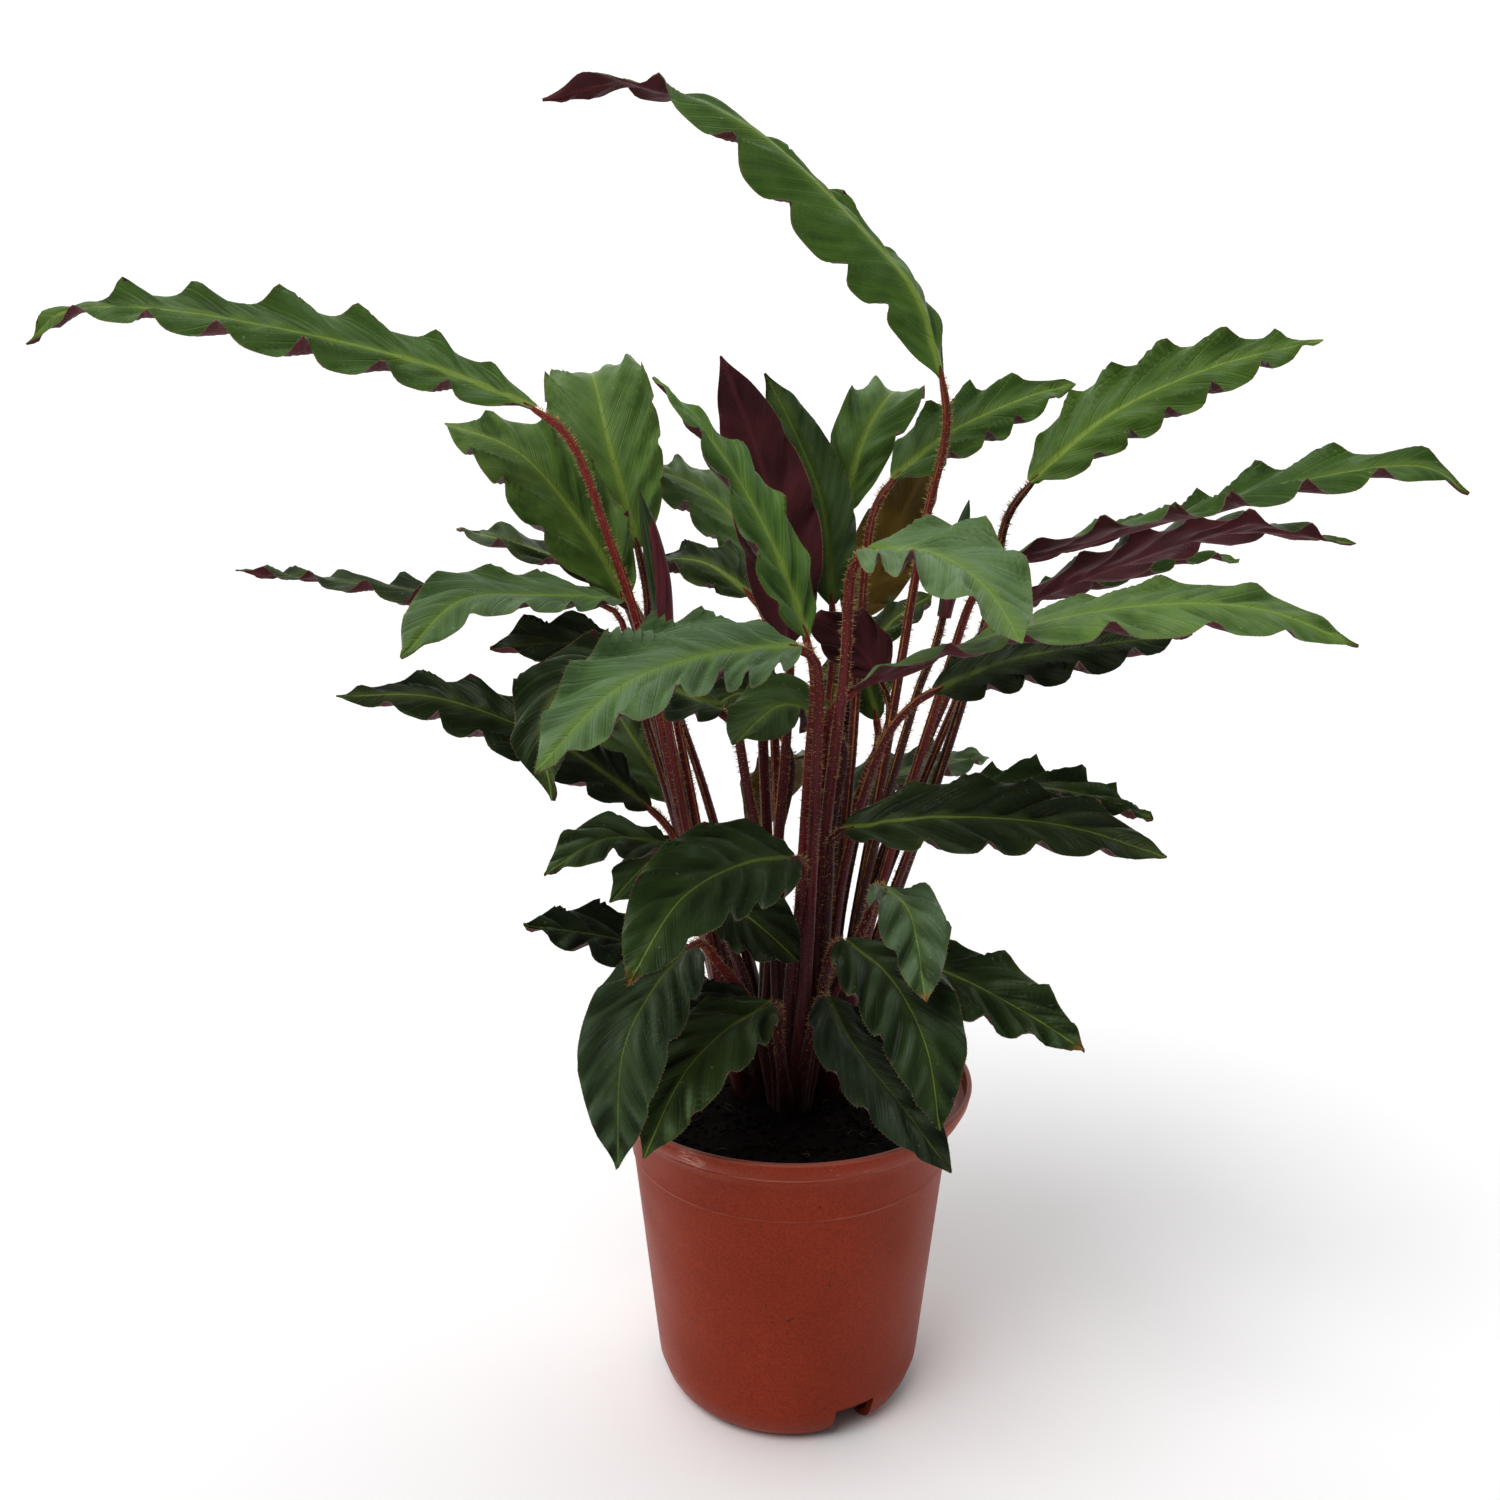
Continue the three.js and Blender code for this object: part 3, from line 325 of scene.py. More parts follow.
         midrib=[(25, 44, 412), (33, 52, 444), (49, 78, 466), (60, 132, 461)],
         face_neck=(-0.1, -1, 0.2), face_tip=(0, -0.3, 1)),
    Leaf("leaf_right_inner", "right", "green", width=37, waves=5,
         stalk=[(23, 12, 237), (28, 16, 307), (33, 22, 390)],
         midrib=[(45, 28, 428), (71, 34, 448), (104, 38, 463), (127, 40, 469)],
         face_neck=(-0.4, -0.6, 0.7), face_tip=(0, -0.6, 0.8)),
    Leaf("leaf_olive_back", "back", "bright", width=34, waves=4,
         stalk=[(14, 48, 240), (23, 62, 310)],
         midrib=[(33, 62, 361), (47, 82, 389), (61, 98, 416), (74, 116, 440)],
         face_neck=(0.3, 0.9, 0.3), face_tip=(0.2, 0.8, 0.5)),
    Leaf("leaf_inner_small", "back", "dark", width=32, waves=3,
         stalk=[(-5, 24, 258), (-9, 31, 340)],
         midrib=[(-18, 35, 376), (-40, 46, 389), (-66, 62, 390)],
         face_neck=(-0.1, -0.4, 0.9), face_tip=(-0.2, -0.3, 0.9)),
    Leaf("leaf_inner_back", "back", "green", width=40, waves=4,
         stalk=[(-10, 34, 250), (-13, 42, 330)],
         midrib=[(-13, 59, 384), (-26, 77, 407), (-48, 98, 423), (-78, 126, 431)],
         face_neck=(0, -0.6, 0.8), face_tip=(0, -0.4, 0.9)),
    # Short leaves around the stalks
    Leaf("leaf_inner_pale", "right", "green", width=36, waves=3,
         stalk=[(14, 1, 220), (19, -1, 280)],
         midrib=[(18, -4, 322), (-4, -14, 334), (-26, -44, 323)],
         face_neck=(-0.2, -0.5, 0.9), face_tip=(-0.3, -0.8, 0.5)),
    Leaf("leaf_inner_dark", "left", "dark", width=28, waves=3,
         stalk=[(-10, 12, 240)],
         midrib=[(-8, 16, 322), (-22, 12, 334), (-40, 4, 326)],
         face_neck=(0, -0.5, 0.85), face_tip=(0, -0.7, 0.7)),
    Leaf("leaf_olive_drop", "back", "bright", width=34, waves=3,
         stalk=[(7, 30, 230)],
         midrib=[(10, 36, 300), (-2, 60, 288), (-17, 86, 245)],
         face_neck=(-0.3, 0.5, 0.8), face_tip=(-0.4, 0.8, 0.3)),
    Leaf("leaf_inner_green", "back", "green", width=34, waves=3,
         stalk=[(20, 26, 230), (34, 28, 286)],
         midrib=[(41, 31, 318), (35, 38, 334), (22, 50, 326), (10, 60, 298)],
         face_neck=(-0.7, -0.6, 0.3), face_tip=(-0.5, -0.8, 0.2)),
    Leaf("leaf_burgundy_bit", "right", "dark", width=30, waves=3,
         stalk=[(22, 4, 220), (34, 5, 290)],
         midrib=[(40, 6, 342), (27, 7, 358), (7, 4, 370)],
         face_neck=(0.2, 0.9, 0.4), face_tip=(0.2, 0.9, 0.4)),
    Leaf("leaf_back_thin", "back", "dark", width=22, waves=3,
         stalk=[(24, 30, 250)],
         midrib=[(36, 30, 352), (50, 34, 366), (66, 44, 374)],
         face_neck=(-0.2, -0.4, 0.9), face_tip=(0, -0.3, 1)),
]

SPEARS = [
    Spear("spear_left", "left", radius=5.4,
          stalk=[(-40, -4, 264), (-52, 2, 330)],
          midrib=[(-55, 4, 354), (-59, 1, 390), (-65, -4, 424)]),
    Spear("spear_right", "right", radius=4.6,
          stalk=[(32, -2, 240), (52, -8, 330)],
          midrib=[(64, -12, 372), (68, -13, 396), (73, -13, 421)]),
]

# Leaves that light comes through from behind, so that their burgundy side shows olive
BACKLIT_LEAVES = ("leaf_olive_back", "leaf_olive_drop")
# The lower a leaf sits, the older and darker it is: partly its own colour with age, partly painted shade
# under the leaves above
OLD_LEAF_HEIGHT = 210 * MM
YOUNG_LEAF_HEIGHT = 420 * MM
# Leaves whose velvet catches the light, and how much: painted sheen mixed into their upper side
VELVET_SHEEN = {
    "leaf_front_high": 0.9, "leaf_left_curled": 0.5, "leaf_front_right_high": 0.75, "leaf_right_long": 0.3,
    "leaf_left_under": 0.4, "leaf_inner_back": 0.35, "leaf_right_small": 0.5, "leaf_small_left": 0.3,
    "leaf_middle_upright": 0.3, "leaf_left_facing": 0.15, "leaf_rim_right_inner": 0.25, "leaf_left_thin": 0.2,
    "leaf_rim_left": 0.4, "leaf_left_long": 0.12, "leaf_right_back": 0.35, "leaf_inner_pale": 0.2,
}
# Leaves that the light makes yellower and paler, and how much
SUNLIT = {
    "leaf_left_facing": 0.35, "leaf_left_broad": 0.35, "leaf_right_long": 0.5, "leaf_right_upper": 0.1,
    "leaf_front_right_high": 0.2, "leaf_rim_left_inner": 0.1,
}
# Leaves in the shade of others, and how dark they are for it
SHADED = {
    "leaf_right_shaded": 0.85, "leaf_rim_left": 0.45, "leaf_rim_left_inner": 0.05,
    "leaf_rim_right_inner": 0.7, "leaf_shade_left": 0.6, "leaf_dark_left": 0.45, "leaf_front_under": 0.3,
    "leaf_right_middle": 0.3, "leaf_middle_upright": 0.45, "leaf_inner_dark": 0.4, "leaf_left_low": 0.4,
    "leaf_rim_right": 0.45, "leaf_right_far": 0.15, "leaf_inner_pale": 0.25, "leaf_front_middle": 0.25,
}
# Leaves with a dry tip, and how far the drying has gone
DRY_TIPS = {
    "leaf_right_low": 1.0, "leaf_right_small": 0.8, "leaf_front_middle": 0.7, "leaf_rim_right_inner": 0.4,
}


def linear(red, green, blue):
    """A colour as seen on a screen, from 0 to 255, as the linear numbers that shaders use."""
    shares = [value / 255 for value in (red, green, blue)]
    return tuple(share / 12.92 if share <= 0.04045 else ((share + 0.055) / 1.055) ** 2.4 for share in shares)


def size_value(name, description, default):
    return FloatProperty(
        name=name, description=description, default=default, min=0, unit="LENGTH", precision=5,
    )


def share_value(name, description, default):
    return FloatProperty(
        name=name, description=description, default=default, min=0, max=1, subtype="FACTOR",
    )


def colour_value(name, description, default):
    return FloatVectorProperty(
        name=name, description=description, default=linear(*default),
        min=0, max=1, size=3, subtype="COLOR",
    )


class PotSettings(bpy.types.PropertyGroup):
    """Sizes and colours of the nursery pot."""
    height: size_value("Height", "Height of the pot from the floor to its rim", POT_HIGH.z)
    rim_radius: size_value("Rim radius", "Outer radius of the rim", POT_HIGH.x)
    lip_height: size_value("Rim band", "Height of the band under the rim", 11 * MM)
    wall_top_radius: size_value("Wall top radius", "Radius of the wall just below the rim band", 76 * MM)
    foot_radius: size_value("Foot radius", "Outer radius of the foot ring", 62 * MM)
    wall: size_value("Wall thickness", "Thickness of the moulded plastic", 2 * MM)
    line_height: size_value("Mould line height", "Height of the fine moulded line around the wall", 122 * MM)
    colour: colour_value("Plastic", "Colour of the terracotta plastic", (153, 54, 19))
    shade_colour: colour_value("Plastic, darker", "Darker mottling in the plastic", (131, 43, 14))
    # Real scuffs, and the painted highlight along the rim's top edge
    scuff_and_highlight_colour: colour_value("Scuffs", "Pale scuffs along the rim", (214, 180, 165))
    dirt_colour: colour_value("Dirt", "Soil stuck to the wall and foot", (45, 30, 24))


class SoilSettings(bpy.types.PropertyGroup):
    """Roughness and colours of the potting soil."""
    lump_height: size_value("Lump height", "How far the soil's lumps rise and fall", 2.2 * MM)
    crumb_radius: size_value("Crumb radius", "Radius of the largest loose crumbs", 2.4 * MM)
    crumbs: IntProperty(name="Crumbs", description="Number of loose crumbs", default=1500, min=0)
    fibres: IntProperty(name="Fibres", description="Number of bark and root fibres", default=70, min=0)
    # Damp peat's own dark colour, made darker still as painted shade under the leaves
    colour: colour_value("Peat", "Colour of the damp peat", (15, 11, 9))
    dry_colour: colour_value("Dry peat", "Colour of the drier crumbs", (38, 27, 21))
    fibre_colour: colour_value("Fibre", "Colour of the fibres", (112, 84, 56))


class LeafSettings(bpy.types.PropertyGroup):
    """Relief and colours of the leaf blades."""
    wave_height: share_value(
        "Wave height", "Height of the margin's waves, as a share of the blade's width", 0.13,
    )
    vein_spacing: size_value("Vein spacing", "Distance between the main side veins along the midrib", 8 * MM)
    vein_relief: size_value("Vein relief", "How far the blade swells between its side veins", 0.22 * MM)
    fold_spacing: size_value(
        "Fold spacing", "Distance between the broad folds beside the side veins", 17 * MM,
    )
    fold_relief: size_value("Fold relief", "Height of the broad folds", 1.1 * MM)
    swell: size_value("Swells", "Height of the slow swells that make each leaf its own", 2.4 * MM)
    scallop: share_value("Scallops", "How far the margin draws in at its crests", 0.07)
    hair_length: size_value("Margin hairs", "Length of the hairs along the margin", 0.9 * MM)
    bright: colour_value("Bright green", "Upper side of the young leaves", (84, 118, 52))
    green: colour_value("Green", "Upper side of the full-grown leaves", (72, 104, 42))
    dark: colour_value("Dark green", "Upper side of the old and shaded leaves", (42, 58, 29))
    rib: colour_value("Midrib", "Midrib seen from above", (138, 160, 72))
    margin: colour_value("Margin", "Thin pale margin", (130, 112, 90))
    # Painted sheen: a pale bluish green mixed into the upper side where the velvet catches the light
    painted_sheen: colour_value("Velvet", "Bluish sheen of the velvet on ridges", (116, 138, 108))
    dry: colour_value("Dry tip", "Dried tips and spots", (150, 98, 48))
    underside: colour_value("Underside", "Burgundy lower side", (84, 38, 42))
    backlit: colour_value("Backlit underside", "Lower side with light coming through", (106, 86, 26))


class StalkSettings(bpy.types.PropertyGroup):
    """Sizes and colours of the stalks and rolled leaves."""
    hair_length: size_value("Hair length", "Length of the longest hairs on a stalk", 3 * MM)
    hair_radius: size_value("Hair radius", "Radius of a hair at its root", 0.16 * MM)
    hair_spacing: size_value("Hair spacing", "Length of stalk for each hair", 0.3 * MM)
    # Dark foot colour: partly the stalks' own colour, partly painted shade low in the clump
    base: colour_value("Base", "Stalk near the soil", (50, 16, 22))
    middle: colour_value("Middle", "Stalk halfway up", (92, 28, 36))
    top: colour_value("Top", "Stalk just below the blade", (116, 46, 34))
    bright: colour_value("Bright", "The redder ones among the stalks", (142, 40, 40))
    seam: colour_value("Seam", "Pale lines where the sheath's edges run", (188, 134, 70))
    hair: colour_value("Hair", "Hairs on stalks and margins", (208, 174, 116))
    spear: colour_value("Rolled leaf", "Lower side of the rolled leaf", (112, 44, 54))
    spear_green: colour_value(
        "Rolled leaf, green", "Upper side of the rolled leaf, where its edge is free", (52, 72, 34),
    )
    husk: colour_value("Husk", "Papery scales around the stalks' feet", (70, 34, 26))


class StageSettings(bpy.types.PropertyGroup):
    """Camera, lights and floor."""
    camera_distance: size_value(
        "Camera distance", "Distance from the camera to the pot's axis, along Y", 606 * MM,
    )
    camera_height: size_value("Camera height", "Height of the camera over the floor", 455 * MM)
    camera_pitch: FloatProperty(
        name="Camera pitch", description="How far the camera looks down",
        default=math.radians(13.4), subtype="ANGLE",
    )
    key_strength: FloatProperty(
        name="Key light", description="Strength of the soft light from above", default=1.7,
    )
    key_width: FloatProperty(
        name="Key softness", description="Angle that the soft light spans",
        default=math.radians(38), subtype="ANGLE",
    )
    back_light: FloatProperty(
        name="Surroundings", description="Brightness of the wall behind the plant", default=1.02,
    )
    front_light: FloatProperty(
        name="Room", description="Brightness of the room behind the camera", default=0.25,
    )
    floor_colour: colour_value("Floor", "Colour of the plain floor", (248, 248, 248))


def lerp(start, end, share):
    return start + (end - start) * share


def smoothstep(low, high, value):
    share = min(max((value - low) / (high - low), 0.0), 1.0)
    return share * share * (3 - 2 * share)


def metres(point):
    return Vector(point) * MM


class SmoothLine:
    """A Catmull-Rom curve through its points. Its places are given by the share of its length."""

    def __init__(self, points):
        self.points = [2 * points[0] - points[1], *points, 2 * points[-1] - points[-2]]
        self.stretches = len(points) - 1
        self.shares = np.linspace(0, 1, LINE_STEPS + 1)
        places = [self.at(share) for share in self.shares]
        steps = [(after - before).length for before, after in zip(places, places[1:])]
        self.lengths = np.concatenate([[0.0], np.cumsum(steps)])
        self.length = float(self.lengths[-1])

    def at(self, share):
        """The place at a share of the way that counts each stretch between two points alike."""
        position = share * self.stretches
        index = min(int(position), self.stretches - 1)
        t = position - index
        before, start, end, after = self.points[index:index + 4]
        leave = (end - before) / 2
        arrive = (after - start) / 2
        return (
            start * (2 * t**3 - 3 * t**2 + 1) + leave * (t**3 - 2 * t**2 + t)
            + end * (3 * t**2 - 2 * t**3) + arrive * (t**3 - t**2)
        )

    def place(self, along):
        return self.at(float(np.interp(along * self.length, self.lengths, self.shares)))

    def heading(self, along, reach=0.0005):
        return (self.place(min(along + reach, 1)) - self.place(max(along - reach, 0))).normalized()


def stalk_line(leaf, top_overlap=0.0):
    """The stalk's way from its crown to the neck of its blade, and top_overlap further."""
    crown_x, crown_y, crown_radius = CROWNS[leaf.clump]
    lean = Vector((leaf.stalk[0][0] - crown_x, leaf.stalk[0][1] - crown_y))
    if lean.length > STALK_ROOT_REACH * crown_radius:
        lean *= STALK_ROOT_REACH * crown_radius / lean.length
    root = Vector(((crown_x + lean.x) * MM, (crown_y + lean.y) * MM, SOIL_TOP - STALK_ROOT_DEPTH))
    midrib = [metres(point) for point in leaf.midrib]
    heading = SmoothLine(midrib).heading(0)
    last = metres(leaf.stalk[-1])
    turning = midrib[0] - heading * NECK_EASE * (midrib[0] - last).length
    eased = last.lerp(turning, 0.55).lerp(turning.lerp(midrib[0], 0.55), 0.55)
    end = midrib[0] + heading * top_overlap
    return SmoothLine([root, *[metres(point) for point in leaf.stalk], eased, end])


class Blade:
    """Places on a leaf blade, for a side from -1 to 1 across it and a share of the way along it."""

    def __init__(self, leaf, look):
        self.leaf = leaf
        self.look = look
        self.line = SmoothLine([metres(point) for point in leaf.midrib])
        self.width = leaf.width * MM
        self.tip_fold = leaf.fold if leaf.tip_fold is None else leaf.tip_fold
        self.random = random.Random(leaf.name)
        self.ripple_phase = self.random.uniform(0, 2 * math.pi)
        self.spot = Vector([self.random.uniform(0, 9) for _ in range(3)])
        self.age = 1 - smoothstep(OLD_LEAF_HEIGHT, YOUNG_LEAF_HEIGHT, self.line.place(0.5).z)
        self.frames = {}

    def half_width(self, along):
        shape = OUTLINE_SCALE * along**OUTLINE_AT_NECK * (1 - along) ** OUTLINE_AT_TIP
        shape *= 1 - 0.3 * smoothstep(0.88, 1.0, along)
        return max(lerp(NECK_HALF_WIDTH, TIP_HALF_WIDTH, along), shape * self.width / 2)

    def turned(self, along):
        """How far the blade has turned from its facing and fold at the neck to those at the tip."""
        return min(max(along, 0.0), 1.0) ** self.leaf.late_turn

    def frame_at(self, along):
        """Centre, way across, way up and half width at a share of the way along the midrib."""
        if along not in self.frames:
            heading = self.line.heading(along)
            up = Vector(self.leaf.face_neck).lerp(Vector(self.leaf.face_tip), self.turned(along))
            up = (up - heading * up.dot(heading)).normalized()
            self.frames[along] = (self.line.place(along), heading.cross(up), up, self.half_width(along))
        return self.frames[along]

    def wave_turn(self, side, along, half_width):
        """The waves' angle. They lean to the tip on their way from the midrib and aren't quite even."""
        lean = WAVE_LEAN * half_width * (1 - abs(side)) / self.line.length
        drift = 0.07 * math.sin(11 * along + self.ripple_phase)
        drift += 0.04 * math.sin(23 * along + 2 * self.ripple_phase)
        return 2 * math.pi * (self.leaf.waves * (along + lean) - self.leaf.phase + drift)

    def crest(self, side, turn):
        """1 on a wave's narrow crest and 0 in its broad trough. The two margins take turns."""
        low = math.exp(-CREST_SHARPNESS)
        here = math.exp(CREST_SHARPNESS * math.sin(turn) * math.copysign(1, side))
        return (here - low) / (1 / low - low)

    def wave(self, side, along, turn):
        """Height of the waves over the blade's middle surface. They grow from the midrib to the margins."""
        calm = math.sin(math.pi * min(max(along, 0), 1)) ** 0.6
        strength = 1 + 0.5 * noise.noise(Vector((turn / 6, math.copysign(3, side), self.spot.x)))
        swing = 2 * self.crest(side, turn) - 0.7
        height = self.look.wave_height * self.leaf.ruffle * self.width
        return height * calm * strength * abs(side) ** 1.3 * swing

    def unevenness(self, side, along, half_width):
        """Slow swells that no two leaves share."""
        spot = Vector((side * half_width * 60, along * self.line.length * 34, 0)) + self.spot
        window = smoothstep(0, 0.3, abs(side)) * smoothstep(1, 0.8, abs(side))
        return self.look.swell * noise.noise(spot) * window

    def vein_place(self, side, along, half_width):
        """The place along the midrib from which the side vein through this point grows, in metres."""
        across = abs(side) * half_width
        return along * self.line.length - VEIN_SLOPE * across - VEIN_CURVE * across**2

    def relief(self, side, along, half_width):
        """The blade swells between its side veins, with broader folds beside them. Old leaves fold most."""
        place = self.vein_place(side, along, half_width)
        spot = Vector((side * half_width * 50, along * self.line.length * 28, 3)) + self.spot
        shift = 2 * noise.noise(spot) + (self.ripple_phase if side > 0 else 0)
        strength = lerp(0.2, 1.35, smoothstep(-0.3, 0.4, noise.noise(spot.zxy)))
        vein_turn = 2 * math.pi * place / self.look.vein_spacing
        fold_turn = 2 * math.pi * place / self.look.fold_spacing + 2 * shift
        window = smoothstep(0, 0.2, abs(side)) * smoothstep(1, 0.85, abs(side)) * smoothstep(0, 0.1, along)
        folds = self.look.fold_relief * lerp(0.7, 1.3, self.age) * strength * math.sin(fold_turn)
        return window * (self.look.vein_relief * (abs(math.cos(vein_turn / 2)) * 2 - 1) + folds)

    def ridge(self, side, along):
        """How far a place stands up from the blade around it, from -1 in a hollow to 1 on a ridge."""
        half_width = self.half_width(along)
        height = self.relief(side, along, half_width) + 0.6 * self.unevenness(side, along, half_width)
        return min(max(height / (1.5 * self.look.fold_relief), -1), 1)

    def closing(self, side, along, half_width):
        """Full thickness inside the blade, and none at its border, where its two sides meet."""
        to_end = min(along, 1 - along) * self.line.length
        to_border = min((1 - abs(side)) * half_width, to_end)
        return min(1.0, max(to_border, 0.0) / BORDER_WIDTH) ** 0.5

    def point(self, side, along, upper):
        centre, across, up, half_width = self.frame_at(along)
        turn = self.wave_turn(side, along, half_width)
        offset = side * half_width * (1 - self.look.scallop * abs(side) ** 3 * self.crest(side, turn) ** 2)
        fold = lerp(self.leaf.fold, self.tip_fold, self.turned(along))
        height = self.wave(side, along, turn) + fold * half_width * abs(side) ** 1.2
        height += self.relief(side, along, half_width) + self.unevenness(side, along, half_width)
        if upper:
            body = BLADE_THICKNESS / 2 - GROOVE_DEPTH * math.exp(-((offset / GROOVE_WIDTH) ** 2))
        else:
            rib = max(lerp(RIB_AT_NECK, RIB_AT_TIP, math.sqrt(along)) - BLADE_THICKNESS, 0)
            body = -BLADE_THICKNESS / 2 - rib * math.exp(-((offset / KEEL_WIDTH) ** 2))
        return centre + across * offset + up * (height + body * self.closing(side, along, half_width))


def to_object(name, bm, materials, crease_degrees=None):
    """A smooth-shaded object from a bmesh, with creases kept sharp."""
    mesh = bpy.data.meshes.new(name)
    bm.to_mesh(mesh)
    bm.free()
    return mesh_object(name, mesh, materials, crease_degrees)


def mesh_object(name, mesh, materials, crease_degrees=None):
    for material in materials:
        mesh.materials.append(material)
    mesh.shade_smooth()
    if crease_degrees is not None:
        mesh.set_sharp_from_angle(angle=math.radians(crease_degrees))
    piece = bpy.data.objects.new(name, mesh)
    bpy.context.scene.collection.objects.link(piece)
    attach(piece, "root")
    return piece


def add_two_sided_sheet(bm, columns, rows, point):
    """A closed thin sheet: an upper and a lower grid that meet all round their border.

    point(side, along, upper) gives each place. Returns the (side, along) of every vertex."""
    places = {}
    for upper in (True, False):
        made = bmesh.ops.create_grid(bm, x_segments=columns, y_segments=rows, size=1)
        verts = made["verts"]
        for vert in verts:
            side = math.copysign(abs(vert.co.x) ** 1.25, vert.co.x)
            along = round((vert.co.y + 1) / 2 * rows) / rows
            places[vert] = (side, along)
        faces = {face for vert in verts for face in vert.link_faces}
        for vert in verts:
            vert.co = point(*places[vert], upper)
        for face in faces:
            face.material_index = 0 if upper else 1
        if not upper:
            bmesh.ops.reverse_faces(bm, faces=list(faces))
    return places


def close_border(bm, distance=0.002 * MM):
    """Joins the two grids of a sheet where they meet and keeps that border crisp."""
    bmesh.ops.remove_doubles(bm, verts=bm.verts, dist=distance)
    for edge in bm.edges:
        sides = {face.material_index for face in edge.link_faces}
        if len(edge.link_faces) == 2 and len(sides) == 2:
            edge.smooth = False


def make_blade(leaf, look, materials):
    """One waved blade with its midrib's groove above and keel below."""
    blade = Blade(leaf, look)
    rows = max(24, round(blade.line.length / BLADE_ROW_LENGTH))
    bm = bmesh.new()
    size_map = bm.loops.layers.uv.new("leaf_size")
    share_map = bm.loops.layers.uv.new("leaf_share")
    ridge = bm.verts.layers.float.new("ridge")
    places = add_two_sided_sheet(bm, BLADE_COLUMNS, rows, blade.point)
    for vert, place in places.items():
        vert[ridge] = blade.ridge(*place)
    for face in bm.faces:
        for loop in face.loops:
            side, along = places[loop.vert]
            loop[size_map].uv = (side * blade.half_width(along), along * blade.line.length)
            loop[share_map].uv = (abs(side), along)
    close_border(bm)
    piece = to_object(leaf.name.replace("leaf_", "blade_"), bm, materials)
    mark_all(piece.data, "tint", blade.random.uniform(0, 1))
    mark_all(piece.data, "age", blade.age)
    for mark, leaves in (("dryness", DRY_TIPS), ("velvet", VELVET_SHEEN), ("sunlit", SUNLIT), ("shaded", SHADED)):
        mark_all(piece.data, mark, leaves.get(leaf.name, 0.0))
    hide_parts(leaf.name)
    return blade


def mark_all(mesh, name, value):
    """A number that is the same on the whole piece, kept on its mesh for the materials to read."""
    attribute = mesh.attributes.new(name, "FLOAT", "POINT")
    attribute.data.foreach_set("value", np.full(len(mesh.vertices), value, np.float32))


def carried_frames(line, stations, first_normal):
    """Centre, normal and binormal at each station, carried along the line without twisting."""
    frames = []
    normal = Vector(first_normal)
    for along in stations:
        heading = line.heading(along)
        normal = (normal - heading * normal.dot(heading)).normalized()
        frames.append((line.place(along), normal.copy(), heading.cross(normal)))
    return frames


def add_tube(bm, line, radius_at, sides, rings, first_normal, mark, mark_at):
    """A closed tube along a line: a cylinder's blank, cut into rings and bent. radius_at(along, turn).

    Every vertex keeps mark_at(along, turn) under the name mark, for the materials."""
    blank = bmesh.new()
    bmesh.ops.create_cone(blank, cap_ends=True, segments=sides, radius1=1, radius2=1, depth=2)
    lengthwise = [edge for edge in blank.edges if abs(edge.verts[0].co.z - edge.verts[1].co.z) > 1]
    bmesh.ops.subdivide_edges(blank, edges=lengthwise, cuts=rings - 1)
    stalk_map = blank.loops.layers.uv.new("stalk")
    marks = blank.verts.layers.float.new(mark)
    frames = carried_frames(line, [ring / rings for ring in range(rings + 1)], first_normal)
    spots = {}
    for vert in blank.verts:
        ring = round((vert.co.z + 1) / 2 * rings)
        turn = (math.atan2(vert.co.y, vert.co.x) / (2 * math.pi)) % 1.0
        spots[vert] = (turn, ring / rings * line.length)
        centre, normal, binormal = frames[ring]
        way = normal * math.cos(2 * math.pi * turn) + binormal * math.sin(2 * math.pi * turn)
        vert.co = centre + way * radius_at(ring / rings, turn)
        vert[marks] = mark_at(ring / rings, turn)
    for face in blank.faces:
        turns = [spots[loop.vert][0] for loop in face.loops]
        wraps = max(turns) - min(turns) > 0.5
        for loop, turn in zip(face.loops, turns):
            loop[stalk_map].uv = (turn + 1 if wraps and turn < 0.5 else turn, spots[loop.vert][1])
    append_bmesh(bm, blank)


def append_bmesh(bm, other):
    """Adds another bmesh's geometry to bm and frees it."""
    scratch = bpy.data.meshes.new("scratch")
    other.to_mesh(scratch)
    other.free()
    bm.from_mesh(scratch)
    bpy.data.meshes.remove(scratch)


def tile_mesh(name, template, placements):
    """One mesh with a copy of the template's mesh at every placement."""
    corners = np.array([vert.co for vert in template.vertices])
    placements = np.array([[list(row) for row in placement] for placement in placements])
    points = np.einsum("nij,pj->npi", placements[:, :3, :3], corners) + placements[:, None, :3, 3]
    faces = []
    for copy in range(len(placements)):
        first = copy * len(corners)
        faces += [[first + index for index in face.vertices] for face in template.polygons]
    mesh = bpy.data.meshes.new(name)
    mesh.from_pydata(points.reshape(-1, 3).tolist(), [], faces)
    return mesh


def cone_template(sides):
    """A cone one unit high that stands on its base, with radius 1."""
    bm = bmesh.new()
    bmesh.ops.create_cone(bm, cap_ends=True, segments=sides, radius1=1, radius2=0, depth=1)
    bmesh.ops.translate(bm, verts=bm.verts, vec=(0, 0, 0.5))
    mesh = bpy.data.meshes.new("template")
    bm.to_mesh(mesh)
    bm.free()
    return mesh


def standing(origin, direction, radius, length):
    """The placement that stands a template on origin, along direction."""
    turn = direction.to_track_quat("Z", "Y").to_matrix().to_4x4()
    return Matrix.Translation(origin) @ turn @ Matrix.Diagonal((radius, radius, length, 1))


